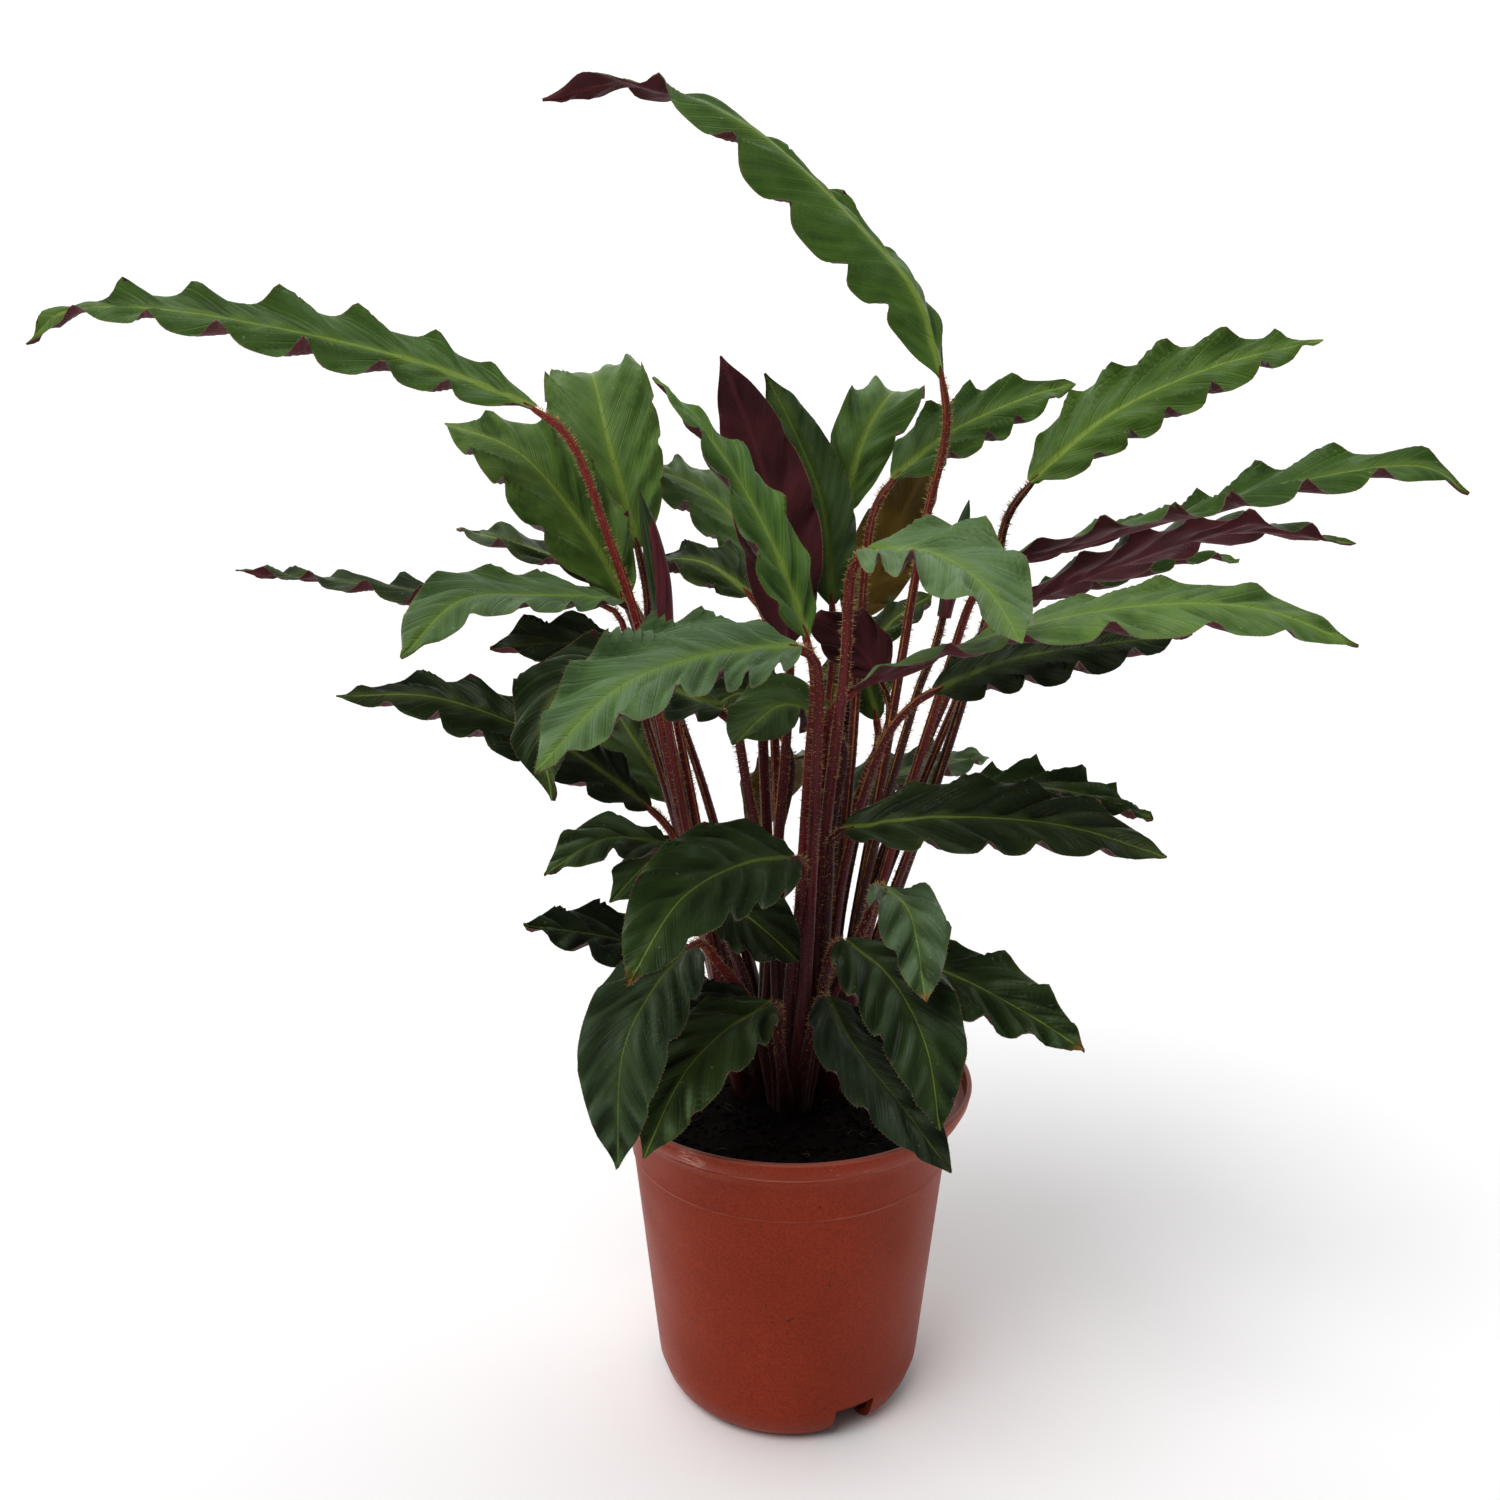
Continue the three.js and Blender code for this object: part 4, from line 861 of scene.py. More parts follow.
def stalk_radius(along, turn, slimness=1.0):
    """A stalk is a wide flat sheath where it clasps the crown, has a shallow groove and thins upwards."""
    sheath = 1 - smoothstep(0, 0.35, along)
    radius = lerp(STALK_BASE_RADIUS, STALK_TOP_RADIUS * slimness, along) * (1 + 0.4 * sheath)
    flatness = 1 - (0.04 + 0.14 * sheath) * math.cos(4 * math.pi * turn)
    groove = 1 - 0.16 * math.exp(-((((turn + 0.5) % 1 - 0.5) / 0.07) ** 2))
    edges = 1 + 0.07 * math.exp(-(((abs((turn + 0.5) % 1 - 0.5) - SEAM_TURN) / 0.02) ** 2))
    end = lerp(1.0, 0.3, smoothstep(0.97, 1, along))
    return radius * flatness * groove * edges * end


def slimness(leaf):
    """Small leaves have thin necks."""
    return lerp(0.62, 1.0, smoothstep(18, 42, getattr(leaf, "width", 36)))


def outward(leaf):
    """The way from the plant's middle towards a leaf's stalk."""
    lean = Vector((leaf.midrib[0][0], leaf.midrib[0][1] - 8, 0))
    return lean.normalized() if lean.length > 1 else Vector((0, -1, 0))


def add_crown(bm, clump, rng):
    """The mound that the stalks grow from, with a few papery scales around it."""
    x, y, radius = (value * MM for value in CROWNS[clump])
    mound = bmesh.new()
    bmesh.ops.create_uvsphere(mound, u_segments=36, v_segments=20, radius=1)
    for vert in mound.verts:
        lump = 1 + 0.1 * noise.noise(vert.co * 3 + Vector((x, y, 0)) * 900)
        half_height = CROWN_RISE if vert.co.z > 0 else CROWN_DEPTH
        swollen = vert.co * lump
        vert.co = Vector((x + swollen.x * radius, y + swollen.y * radius, SOIL_TOP + swollen.z * half_height))
    for face in mound.faces:
        face.material_index = 1
    append_bmesh(bm, mound)
    for index in range(6):
        add_scale(bm, Vector((x, y, 0)), radius, 2 * math.pi * index / 6 + rng.uniform(-0.4, 0.4), rng)


def add_scale(bm, centre, radius, angle, rng):
    """A short pointed sheath that hugs the stalks and bends away a little at its tip."""
    height = rng.uniform(14, 34) * MM
    half_width = rng.uniform(3, 4.6) * MM
    lean = rng.uniform(0.02, 0.16)

    def point(side, along, upper):
        reach = half_width * (1 - along) ** 0.6
        bend = angle + side * reach / radius
        half_thickness = 0.25 * MM * (1 - abs(side) ** 4) * min(1, 8 * along) * (1 - along)
        distance = radius * (0.94 - 0.15 * along) + lean * height * along**2
        distance += half_thickness if upper else -half_thickness
        z = SOIL_TOP - 4 * MM + (height + 4 * MM) * along
        return centre + Vector((distance * math.cos(bend), distance * math.sin(bend), z))

    scale = bmesh.new()
    add_two_sided_sheet(scale, 8, 10, point)
    bmesh.ops.remove_doubles(scale, verts=scale.verts, dist=0.01 * MM)
    bmesh.ops.recalc_face_normals(scale, faces=scale.faces)
    for face in scale.faces:
        face.material_index = 1
    append_bmesh(bm, scale)


def make_stalk_clump(clump, members, materials):
    bm = bmesh.new()
    rng = random.Random(clump)
    for leaf in members:
        line = stalk_line(leaf, top_overlap=5 * MM)
        tone = rng.random()
        rings = max(8, round(line.length / STALK_RING_LENGTH))
        slim = slimness(leaf)
        add_tube(
            bm, line, lambda along, turn: stalk_radius(along, turn, slim), STALK_SIDES, rings, -outward(leaf),
            "tone", lambda along, turn: tone,
        )
    add_crown(bm, clump, rng)
    piece = to_object(f"clump_{clump}", bm, materials, crease_degrees=50)
    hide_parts(f"stalks_{clump}")


def make_stalk_hairs(clump, members, look, template, material):
    """Fine bristles that stand out all round the upper part of each stalk, longest near its blade."""
    rng = random.Random(f"hairs {clump}")
    placements = []
    for leaf in members:
        line = stalk_line(leaf)
        rings = round(line.length / STALK_RING_LENGTH)
        frames = carried_frames(line, [ring / rings for ring in range(rings + 1)], -outward(leaf))
        for _ in range(round(line.length / look.hair_spacing)):
            along = 1 - rng.random() ** 1.3 * 0.8
            _, normal, binormal = frames[round(along * rings)]
            turn = rng.random()
            way = normal * math.cos(2 * math.pi * turn) + binormal * math.sin(2 * math.pi * turn)
            root = line.place(along) + way * stalk_radius(along, turn, slimness(leaf)) * 0.9
            slant = line.heading(along) * rng.uniform(-0.1, 0.45)
            direction = way + slant + binormal * rng.uniform(-0.2, 0.2)
            length = look.hair_length * rng.uniform(0.4, 1) * lerp(0.3, 1, smoothstep(0.4, 0.8, along))
            placements.append(standing(root, direction.normalized(), look.hair_radius, length))
    mesh = tile_mesh(f"stalk_hairs_{clump}", template, placements)
    mesh_object(f"stalk_hairs_{clump}", mesh, [material])


def make_margin_hairs(clump, blades, look, template, material):
    """The short hairs that fringe every margin."""
    rng = random.Random(f"margins {clump}")
    placements = []
    for blade in blades:
        steps = round(blade.line.length / MARGIN_HAIR_STEP)
        for step in range(2, steps):
            for side in (-1, 1):
                along = (step + rng.uniform(-0.4, 0.4)) / steps
                root = blade.point(side, along, True)
                _, across, up, _ = blade.frame_at(along)
                slant = blade.line.heading(along) * rng.uniform(0.1, 0.7)
                direction = across * side + slant + up * rng.uniform(-0.4, 0.4)
                length = look.hair_length * rng.uniform(0.5, 1)
                placements.append(standing(root, direction.normalized(), MARGIN_HAIR_RADIUS, length))
    mesh = tile_mesh(f"margin_hairs_{clump}", template, placements)
    mesh_object(f"margin_hairs_{clump}", mesh, [material])


def flap_reach(along, turn):
    """1 where the rolled leaf's free outer layer lies, from its slanting edge to its top, and 0 beside it."""
    edge = -0.14 + 0.2 * along
    past_edge = (turn - edge + 0.5) % 1 - 0.5
    top = 0.8 + 0.3 * max(past_edge, 0)
    beside = smoothstep(0.0, 0.03, past_edge) * smoothstep(0.55, 0.45, past_edge)
    return beside * smoothstep(top, top - 0.04, along)


def make_spear(spear, material):
    """A leaf still rolled up: a slim pointed roll, and the outer layer that begins to come free."""
    line = SmoothLine([metres(point) for point in spear.midrib])

    def radius_at(along, turn):
        swell = lerp(0.72, 1.1, smoothstep(0, 0.5, along)) * (1 - along**3.5) ** 0.8
        step = 0.84 + 0.16 * flap_reach(along, turn)
        crease = 1 - 0.08 * math.exp(-((((turn - 0.82 + 0.5) % 1 - 0.5) / 0.03) ** 2))
        return max(0.3 * MM, spear.radius * MM * swell * step * crease)

    bm = bmesh.new()
    add_tube(bm, line, radius_at, 56, 64, Vector((0, -1, 0)), "flap", flap_reach)
    piece = to_object(spear.name.replace("spear_", "rolled_leaf_"), bm, [material], crease_degrees=45)
    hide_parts(spear.name)


def spin_profile(bm, profile, steps):
    """Turns a profile of (radius, height) points about the pot's axis into a closed body."""
    verts = [bm.verts.new((radius, 0, height)) for radius, height in profile]
    edges = [bm.edges.new(pair) for pair in zip(verts, verts[1:])]
    bmesh.ops.spin(
        bm, geom=verts + edges, cent=(0, 0, 0), axis=(0, 0, 1), dvec=(0, 0, 0),
        angle=2 * math.pi, steps=steps, use_merge=True,
    )
    bmesh.ops.remove_doubles(bm, verts=bm.verts, dist=0.01 * MM)
    bmesh.ops.recalc_face_normals(bm, faces=bm.faces)


def rounded(corner, before, after, radius, steps=4):
    """A few points that round off a profile's corner."""
    corner, before, after = Vector(corner), Vector(before), Vector(after)
    start = corner + (before - corner).normalized() * radius
    end = corner + (after - corner).normalized() * radius
    points = []
    for step in range(steps + 1):
        share = step / steps
        points.append(start.lerp(corner, share).lerp(corner.lerp(end, share), share))
    return [tuple(point) for point in points]


def pot_profile(sizes):
    """The pot's outline in millimetres, from the middle of its underside round to the middle inside."""
    height = sizes.height / MM
    rim = sizes.rim_radius / MM
    foot = sizes.foot_radius / MM
    wall_top = sizes.wall_top_radius / MM
    wall = sizes.wall / MM
    line = sizes.line_height / MM
    lip_bottom = height - sizes.lip_height / MM

    def wall_at(z):
        return lerp(foot, wall_top, (z - 7) / (lip_bottom - 7))

    outside = [
        (0, 0), (30, 0), (34, 17), (59, 17), (58.3, 12.5), (57, 8.8), (55.2, 6.1), (53, 4), (50, 1.8),
        (47, 0), (49.5, 0), (foot - 10.7, 0.5), (foot - 7.6, 1.7),
        (foot - 5.3, 3.2), (foot - 3.4, 5.2), (foot - 1.8, 8), (foot - 0.6, 11.5), (wall_at(15) - 0.1, 15),
        (wall_at(19), 19), (wall_at(40), 40), (wall_at(80), 80),
        (wall_at(line) - 0.05, line - 0.7), (wall_at(line) + 0.35, line - 0.35), (wall_at(line) + 0.6, line),
        (wall_at(line) + 0.45, line + 0.5), (wall_at(line + 2) + 0.3, line + 1.6),
        (wall_at(lip_bottom - 6) + 0.45, lip_bottom - 6), (wall_at(lip_bottom - 3) + 1.0, lip_bottom - 3),
        (wall_top + 2.6, lip_bottom - 0.6), (wall_top + 5.2, lip_bottom + 1.0),
        (wall_top + 5.6, lip_bottom + 1.35), (wall_top + 5.5, lip_bottom + 1.7),
        (wall_top + 6.8, lip_bottom + 3.6), (rim - 0.9, lip_bottom + 6.2),
        *rounded((rim, height), (rim, lip_bottom + 7), (rim - 2.2, height), 0.9),
    ]
    inside = [
        *rounded((rim - 2.3, height), (rim, height), (rim - 3, height - 6), 0.7),
        (rim - 3.2, lip_bottom + 3), (wall_top - wall + 1, lip_bottom + 0.5),
        (wall_top - wall, lip_bottom - 3),
        (wall_at(80) - wall, 80), (wall_at(24) - wall, 24), (57, 19), (32, 19), (28, 2), (0, 2),
    ]
    return [(radius * MM, z * MM) for radius, z in outside + inside]


def cut(piece, cutter):
    """Takes the cutter's space out of a piece and removes the cutter."""
    boolean = piece.modifiers.new("Cut", "BOOLEAN")
    boolean.operation = "DIFFERENCE"
    boolean.solver = "MANIFOLD"
    boolean.object = cutter
    depsgraph = bpy.context.evaluated_depsgraph_get()
    mesh = bpy.data.meshes.new_from_object(piece.evaluated_get(depsgraph))
    piece.modifiers.remove(boolean)
    old = piece.data
    piece.data = mesh
    bpy.data.meshes.remove(old)
    bpy.data.objects.remove(cutter)


def foot_cutter():
    """The three drainage notches in the skirt and the six holes in the raised floor."""
    bm = bmesh.new()
    size = Matrix.Diagonal((*NOTCH_SIZE, 1))
    for degrees in NOTCH_ANGLES:
        turn = Matrix.Rotation(math.radians(degrees), 4, "Z")
        bmesh.ops.create_cube(bm, size=1, matrix=turn @ Matrix.Translation((NOTCH_DISTANCE, 0, 0)) @ size)
    for hole in range(DRAIN_HOLES):
        turn = Matrix.Rotation(2 * math.pi * hole / DRAIN_HOLES, 4, "Z")
        bmesh.ops.create_cone(
            bm, cap_ends=True, segments=32, radius1=DRAIN_HOLE_RADIUS, radius2=DRAIN_HOLE_RADIUS,
            depth=DRAIN_CUTTER_DEPTH, matrix=turn @ Matrix.Translation((DRAIN_HOLE_DISTANCE, 0, 0)),
        )
    mesh = bpy.data.meshes.new("cutter")
    bm.to_mesh(mesh)
    bm.free()
    cutter = bpy.data.objects.new("cutter", mesh)
    bpy.context.scene.collection.objects.link(cutter)
    return cutter


def make_pot(sizes):
    bm = bmesh.new()
    spin_profile(bm, pot_profile(sizes), POT_STEPS)
    piece = to_object("nursery_pot", bm, [pot_material(sizes)])
    cut(piece, foot_cutter())
    piece.data.shade_smooth()
    piece.data.set_sharp_from_angle(angle=math.radians(38))
    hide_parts("pot")


def soil_height(x, y, look):
    """Height of the soil's lumpy surface over its plain level."""
    spot = Vector((x, y, 0))
    lumps = noise.fractal(spot * 70, 1.0, 2.0, 4)
    grit = noise.noise(spot * 420)
    return look.lump_height * (0.55 * lumps + 0.22 * grit) - 0.4 * MM


def make_soil(look):
    """The soil: a body that fills the pot, with a lumpy top."""
    edge = SOIL_HIGH.x
    level = SOIL_TOP - SOIL_SINK
    body = [
        (0, SOIL_LOW.z), (27.7 * MM, SOIL_LOW.z), (31.7 * MM, 19.3 * MM), (56.5 * MM, 19.3 * MM),
        (61 * MM, 24 * MM),
    ]
    top = [(edge * (1 - ring / SOIL_RINGS), level) for ring in range(SOIL_RINGS)]
    bm = bmesh.new()
    spin_profile(bm, body + top + [(0, level)], SOIL_STEPS)
    for vert in bm.verts:
        if vert.co.z > SOIL_TOP - 2 * MM:
            inner = 1 - smoothstep(0.93 * edge, edge, vert.co.xy.length)
            lump = soil_height(vert.co.x, vert.co.y, look) * inner
            vert.co.z = level + lump - 0.8 * MM * (1 - inner)
    piece = to_object("potting_soil", bm, [soil_material(look)])
    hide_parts("soil")


def on_soil(rng, look, reach=0.95):
    """A random place on the soil's surface."""
    distance = reach * SOIL_HIGH.x * math.sqrt(rng.random())
    angle = rng.uniform(0, 2 * math.pi)
    x, y = distance * math.cos(angle), distance * math.sin(angle)
    return Vector((x, y, SOIL_TOP - SOIL_SINK + soil_height(x, y, look)))


def make_crumbs(look):
    rng = random.Random("crumbs")
    bm = bmesh.new()
    bmesh.ops.create_icosphere(bm, subdivisions=1, radius=1)
    for vert in bm.verts:
        vert.co *= rng.uniform(0.75, 1.15)
    template = bpy.data.meshes.new("crumb")
    bm.to_mesh(template)
    bm.free()
    placements = []
    for _ in range(look.crumbs):
        radius = look.crumb_radius * (0.18 + 0.82 * rng.random() ** 3)
        spin = Matrix.Rotation(rng.uniform(0, LOOSE_TURN), 4, Vector((rng.random(), rng.random(), 1)))
        stretch = Matrix.Diagonal((radius, radius * rng.uniform(0.5, 0.9), radius * rng.uniform(0.4, 0.8), 1))
        place = on_soil(rng, look) + Vector((0, 0, 0.15 * radius))
        placements.append(Matrix.Translation(place) @ spin @ stretch)
    mesh = tile_mesh("soil_crumbs", template, placements)
    mesh_object("soil_crumbs", mesh, [crumb_material(look)], crease_degrees=30)


def make_fibres(look):
    """Bark and root fibres, each bent a little and lying on the soil."""
    rng = random.Random("fibres")
    bm = bmesh.new()
    bmesh.ops.create_cone(bm, cap_ends=True, segments=4, radius1=1, radius2=0.4, depth=2)
    lengthwise = [edge for edge in bm.edges if abs(edge.verts[0].co.z - edge.verts[1].co.z) > 1]
    bmesh.ops.subdivide_edges(bm, edges=lengthwise, cuts=4)
    for vert in bm.verts:
        vert.co.x += 9 * (1 - vert.co.z**2)
    template = bpy.data.meshes.new("fibre")
    bm.to_mesh(template)
    bm.free()
    placements = []
    for _ in range(look.fibres):
        length = rng.uniform(3, 9) * MM
        radius = rng.uniform(0.12, 0.3) * MM
        heading = Matrix.Rotation(rng.uniform(0, LOOSE_TURN), 4, "Z")
        flat = heading @ Matrix.Rotation(math.radians(rng.uniform(70, 95)), 4, "X")
        place = on_soil(rng, look, 0.9) + Vector((0, 0, 0.5 * MM))
        placements.append(Matrix.Translation(place) @ flat @ Matrix.Diagonal((radius, radius, length / 2, 1)))
    mesh = tile_mesh("soil_fibres", template, placements)
    mesh_object("soil_fibres", mesh, [fibre_material(look)])


class Sketch:
    """A material's node tree, with one short call for each kind of node."""

    def __init__(self, name, roughness=0.5, sheen=0.0, sheen_tint=(1, 1, 1), specular=0.5):
        self.material = bpy.data.materials.new(name)
        self.material.use_nodes = True
        self.nodes = self.material.node_tree.nodes
        self.links = self.material.node_tree.links
        self.shader = self.nodes["Principled BSDF"]
        self.shader.inputs["Roughness"].default_value = roughness
        self.shader.inputs["Sheen Weight"].default_value = sheen
        self.shader.inputs["Sheen Roughness"].default_value = 0.45
        self.shader.inputs["Sheen Tint"].default_value = (*sheen_tint, 1)
        self.shader.inputs["Specular IOR Level"].default_value = specular

    def feed(self, socket, value):
        if isinstance(value, bpy.types.NodeSocket):
            self.links.new(value, socket)
        elif socket.type == "RGBA":
            socket.default_value = (*value, 1)
        else:
            socket.default_value = value

    def math(self, operation, *values):
        node = self.nodes.new("ShaderNodeMath")
        node.operation = operation
        for socket, value in zip(node.inputs, values):
            self.feed(socket, value)
        return node.outputs[0]

    def times(self, first, second):
        return self.math("MULTIPLY", first, second)

    def ramp(self, value, low, high, start=0.0, end=1.0):
        """A smooth rise from start to end while value goes from low to high."""
        node = self.nodes.new("ShaderNodeMapRange")
        node.interpolation_type = "SMOOTHSTEP"
        numbers = {"Value": value, "From Min": low, "From Max": high, "To Min": start, "To Max": end}
        for name, number in numbers.items():
            self.feed(node.inputs[name], number)
        return node.outputs[0]

    def mix(self, share, first, second, blend="MIX"):
        node = self.nodes.new("ShaderNodeMix")
        node.data_type = "RGBA"
        node.blend_type = blend
        self.feed(node.inputs[0], share)
        self.feed(node.inputs[6], first)
        self.feed(node.inputs[7], second)
        return node.outputs[2]

    def noise(self, place, scale, detail=2.0, roughness=0.5):
        node = self.nodes.new("ShaderNodeTexNoise")
        numbers = {"Vector": place, "Scale": scale, "Detail": detail, "Roughness": roughness}
        for name, value in numbers.items():
            self.feed(node.inputs[name], value)
        return node.outputs[0]

    def cells(self, place, scale):
        node = self.nodes.new("ShaderNodeTexVoronoi")
        self.feed(node.inputs["Vector"], place)
        self.feed(node.inputs["Scale"], scale)
        return node.outputs["Distance"]

    def object_place(self):
        return self.nodes.new("ShaderNodeTexCoord").outputs["Object"]

    def stretched(self, place, scale):
        node = self.nodes.new("ShaderNodeMapping")
        self.feed(node.inputs["Vector"], place)
        node.inputs["Scale"].default_value = scale
        return node.outputs[0]

    def split(self, vector):
        node = self.nodes.new("ShaderNodeSeparateXYZ")
        self.feed(node.inputs[0], vector)
        return node.outputs

    def uv(self, name):
        node = self.nodes.new("ShaderNodeUVMap")
        node.uv_map = name
        return node.outputs[0]

    def marked(self, name):
        node = self.nodes.new("ShaderNodeAttribute")
        node.attribute_name = name
        return node.outputs["Fac"]

    def near(self, place, spot, reach):
        """1 at a spot, given in millimetres, and 0 from reach away."""
        node = self.nodes.new("ShaderNodeVectorMath")
        node.operation = "DISTANCE"
        self.feed(node.inputs[0], place)
        node.inputs[1].default_value = metres(spot)
        return self.ramp(node.outputs["Value"], 0.0, reach * MM, 1.0, 0.0)

    def bump(self, height, distance, strength=1.0, normal=None):
        node = self.nodes.new("ShaderNodeBump")
        node.inputs["Strength"].default_value = strength
        node.inputs["Distance"].default_value = distance
        self.feed(node.inputs["Height"], height)
        if normal is not None:
            self.feed(node.inputs["Normal"], normal)
        return node.outputs[0]

    def finish(self, colour, roughness=None, normal=None):
        self.feed(self.shader.inputs["Base Color"], colour)
        if roughness is not None:
            self.feed(self.shader.inputs["Roughness"], roughness)
        if normal is not None:
            self.feed(self.shader.inputs["Normal"], normal)
        return self.material


def shade(colour, factor):
    return tuple(min(channel * factor, 1.0) for channel in colour)


def toward(colour, other, share):
    return tuple(lerp(a, b, share) for a, b in zip(colour, other))


def vein_masks(sketch, look):
    """Distance from the midrib, the swells between main side veins, and the fine veins."""
    size = sketch.split(sketch.uv("leaf_size"))
    across = sketch.math("ABSOLUTE", size[0])
    bend = sketch.times(sketch.times(across, across), VEIN_CURVE)
    slope = sketch.times(across, VEIN_SLOPE)
    grown = sketch.math("SUBTRACT", sketch.math("SUBTRACT", size[1], slope), bend)
    main = sketch.math("PINGPONG", sketch.math("DIVIDE", grown, look.vein_spacing), 0.5)
    fine = sketch.math("PINGPONG", sketch.math("DIVIDE", grown, look.vein_spacing / 4), 0.5)
    return across, sketch.times(main, 2.0), sketch.times(fine, 2.0)


def leaf_top_material(name, colour, look):
    """The velvet upper side: sheen, side veins, a yellow-green glow along the midrib, a thin pale margin,
    with painted sheen on its ridges and painted shade in its hollows and on its lower leaves.
    """
    sketch = Sketch(name, sheen=0.14, sheen_tint=(0.72, 0.92, 0.74), specular=0.15)
    place = sketch.object_place()
    across, main, fine = vein_masks(sketch, look)
    share = sketch.split(sketch.uv("leaf_share"))
    cloud = sketch.noise(place, 38, 3)
    patch = sketch.noise(place, 95, 3)
    pale = toward(colour, look.rib, 0.3)
    fresh = shade(toward(colour, look.rib, 0.08), 1.2)
    body = sketch.mix(sketch.ramp(cloud, 0.3, 0.7), shade(colour, 0.72), fresh)
    body = sketch.mix(sketch.ramp(patch, 0.35, 0.7, 0.0, 0.45), body, shade(colour, 0.58))
    body = sketch.mix(sketch.ramp(sketch.marked("tint"), 0, 1, 0.0, 0.35), body, shade(pale, 1.05))
    age = sketch.marked("age")
    clarity = sketch.times(sketch.ramp(age, 0, 1, 1.0, 0.35), sketch.ramp(patch, 0.3, 0.65, 0.3, 1.0))
    # Painted shade in the hollows between the main side veins
    hollow = sketch.times(sketch.ramp(main, 0.45, 1.0, 0.0, 0.3), clarity)
    body = sketch.mix(hollow, body, shade(colour, 0.5))
    line = sketch.times(sketch.ramp(main, 0.0, 0.35, 0.3, 0.0), clarity)
    body = sketch.mix(line, body, shade(pale, 1.3))
    thread = sketch.times(sketch.ramp(fine, 0.0, 0.4, 0.24, 0.0), clarity)
    body = sketch.mix(thread, body, shade(colour, 0.5))
    # Older, lower leaves darker: partly their own colour, partly painted shade from the leaves above
    body = sketch.mix(sketch.ramp(age, 0, 1, 0.0, 0.72), body, shade(look.dark, 0.62))
    ridge = sketch.marked("ridge")
    # Painted shade in the hollows of the blade's relief, deeper on the older, lower leaves
    depth = sketch.times(sketch.ramp(ridge, 0.0, -0.8, 0.0, 0.6), sketch.ramp(age, 0, 1, 0.5, 1.0))
    body = sketch.mix(depth, body, shade(look.dark, 0.4))
    # Painted sheen on the ridges of the blade's relief
    velvet = sketch.times(sketch.ramp(ridge, 0.1, 0.9, 0.0, 0.4), sketch.ramp(cloud, 0.35, 0.6, 0.2, 1.0))
    body = sketch.mix(velvet, body, look.painted_sheen)
    sun = sketch.times(sketch.marked("sunlit"), sketch.ramp(patch, 0.35, 0.65, 1.0, 0.3))
    sun = sketch.times(sun, sketch.ramp(ridge, -0.5, 0.3, 0.3, 1.0))
    body = sketch.mix(sun, body, toward(look.bright, look.rib, 0.6))
    # Painted sheen over the chosen leaves, strongest on the ridges
    lit = sketch.times(sketch.marked("velvet"), sketch.ramp(ridge, -0.7, 0.5, 0.3, 0.85))
    lit = sketch.times(lit, sketch.ramp(main, 0.1, 0.9, 1.0, 0.65))
    body = sketch.mix(lit, body, look.painted_sheen)
    youth = sketch.ramp(age, 0, 1, 0.66, 0.16)
    glow = sketch.times(sketch.ramp(across, 0.6 * MM, 5 * MM, 1.0, 0.0), youth)
    glow = sketch.times(glow, sketch.ramp(patch, 0.3, 0.6, 0.5, 1.0))
    body = sketch.mix(glow, body, toward(colour, look.rib, 0.5))
    taper = sketch.ramp(share[1], 0, 0.6, 2.5 * MM, 0.7 * MM)
    rib_width = sketch.times(taper, sketch.ramp(age, 0, 1, 1.0, 0.5))
    rib = sketch.ramp(sketch.math("DIVIDE", across, rib_width), 0.4, 1.0, 0.72, 0.0)
    rib = sketch.times(rib, sketch.ramp(sketch.marked("velvet"), 0, 1, 1.0, 0.4))
    body = sketch.mix(rib, body, look.rib)
    near_edge = sketch.times(sketch.ramp(share[0], 0.78, 1.0), sketch.ramp(cloud, 0.52, 0.72))
    body = sketch.mix(sketch.times(near_edge, 0.35), body, toward(colour, look.rib, 0.6))
    body = sketch.mix(sketch.ramp(share[0], 0.975, 0.99, 0.0, 0.6), body, look.margin)
    dry_reach = sketch.times(sketch.ramp(share[1], 0.93, 0.99), sketch.ramp(cloud, 0.35, 0.6, 0.5, 1.0))
    body = sketch.mix(sketch.times(dry_reach, sketch.marked("dryness")), body, look.dry)
    specks = sketch.ramp(sketch.noise(place, 520, 1), 0.75, 0.8, 0.0, 0.3)
    body = sketch.mix(specks, body, toward(look.rib, (1, 1, 1), 0.3))
    gloom = sketch.times(sketch.marked("shaded"), sketch.ramp(patch, 0.3, 0.7, 1.0, 0.7))
    body = sketch.mix(gloom, body, shade(look.dark, 0.2))
    normal = sketch.bump(sketch.cells(place, 1300), 0.06 * MM, 0.6)
    normal = sketch.bump(sketch.ramp(fine, 0, 0.5), 0.1 * MM, 0.6, normal)
    normal = sketch.bump(sketch.ramp(main, 0, 0.25), 0.25 * MM, 0.6, normal)
    return sketch.finish(body, sketch.ramp(patch, 0.3, 0.75, 0.31, 0.52), normal)


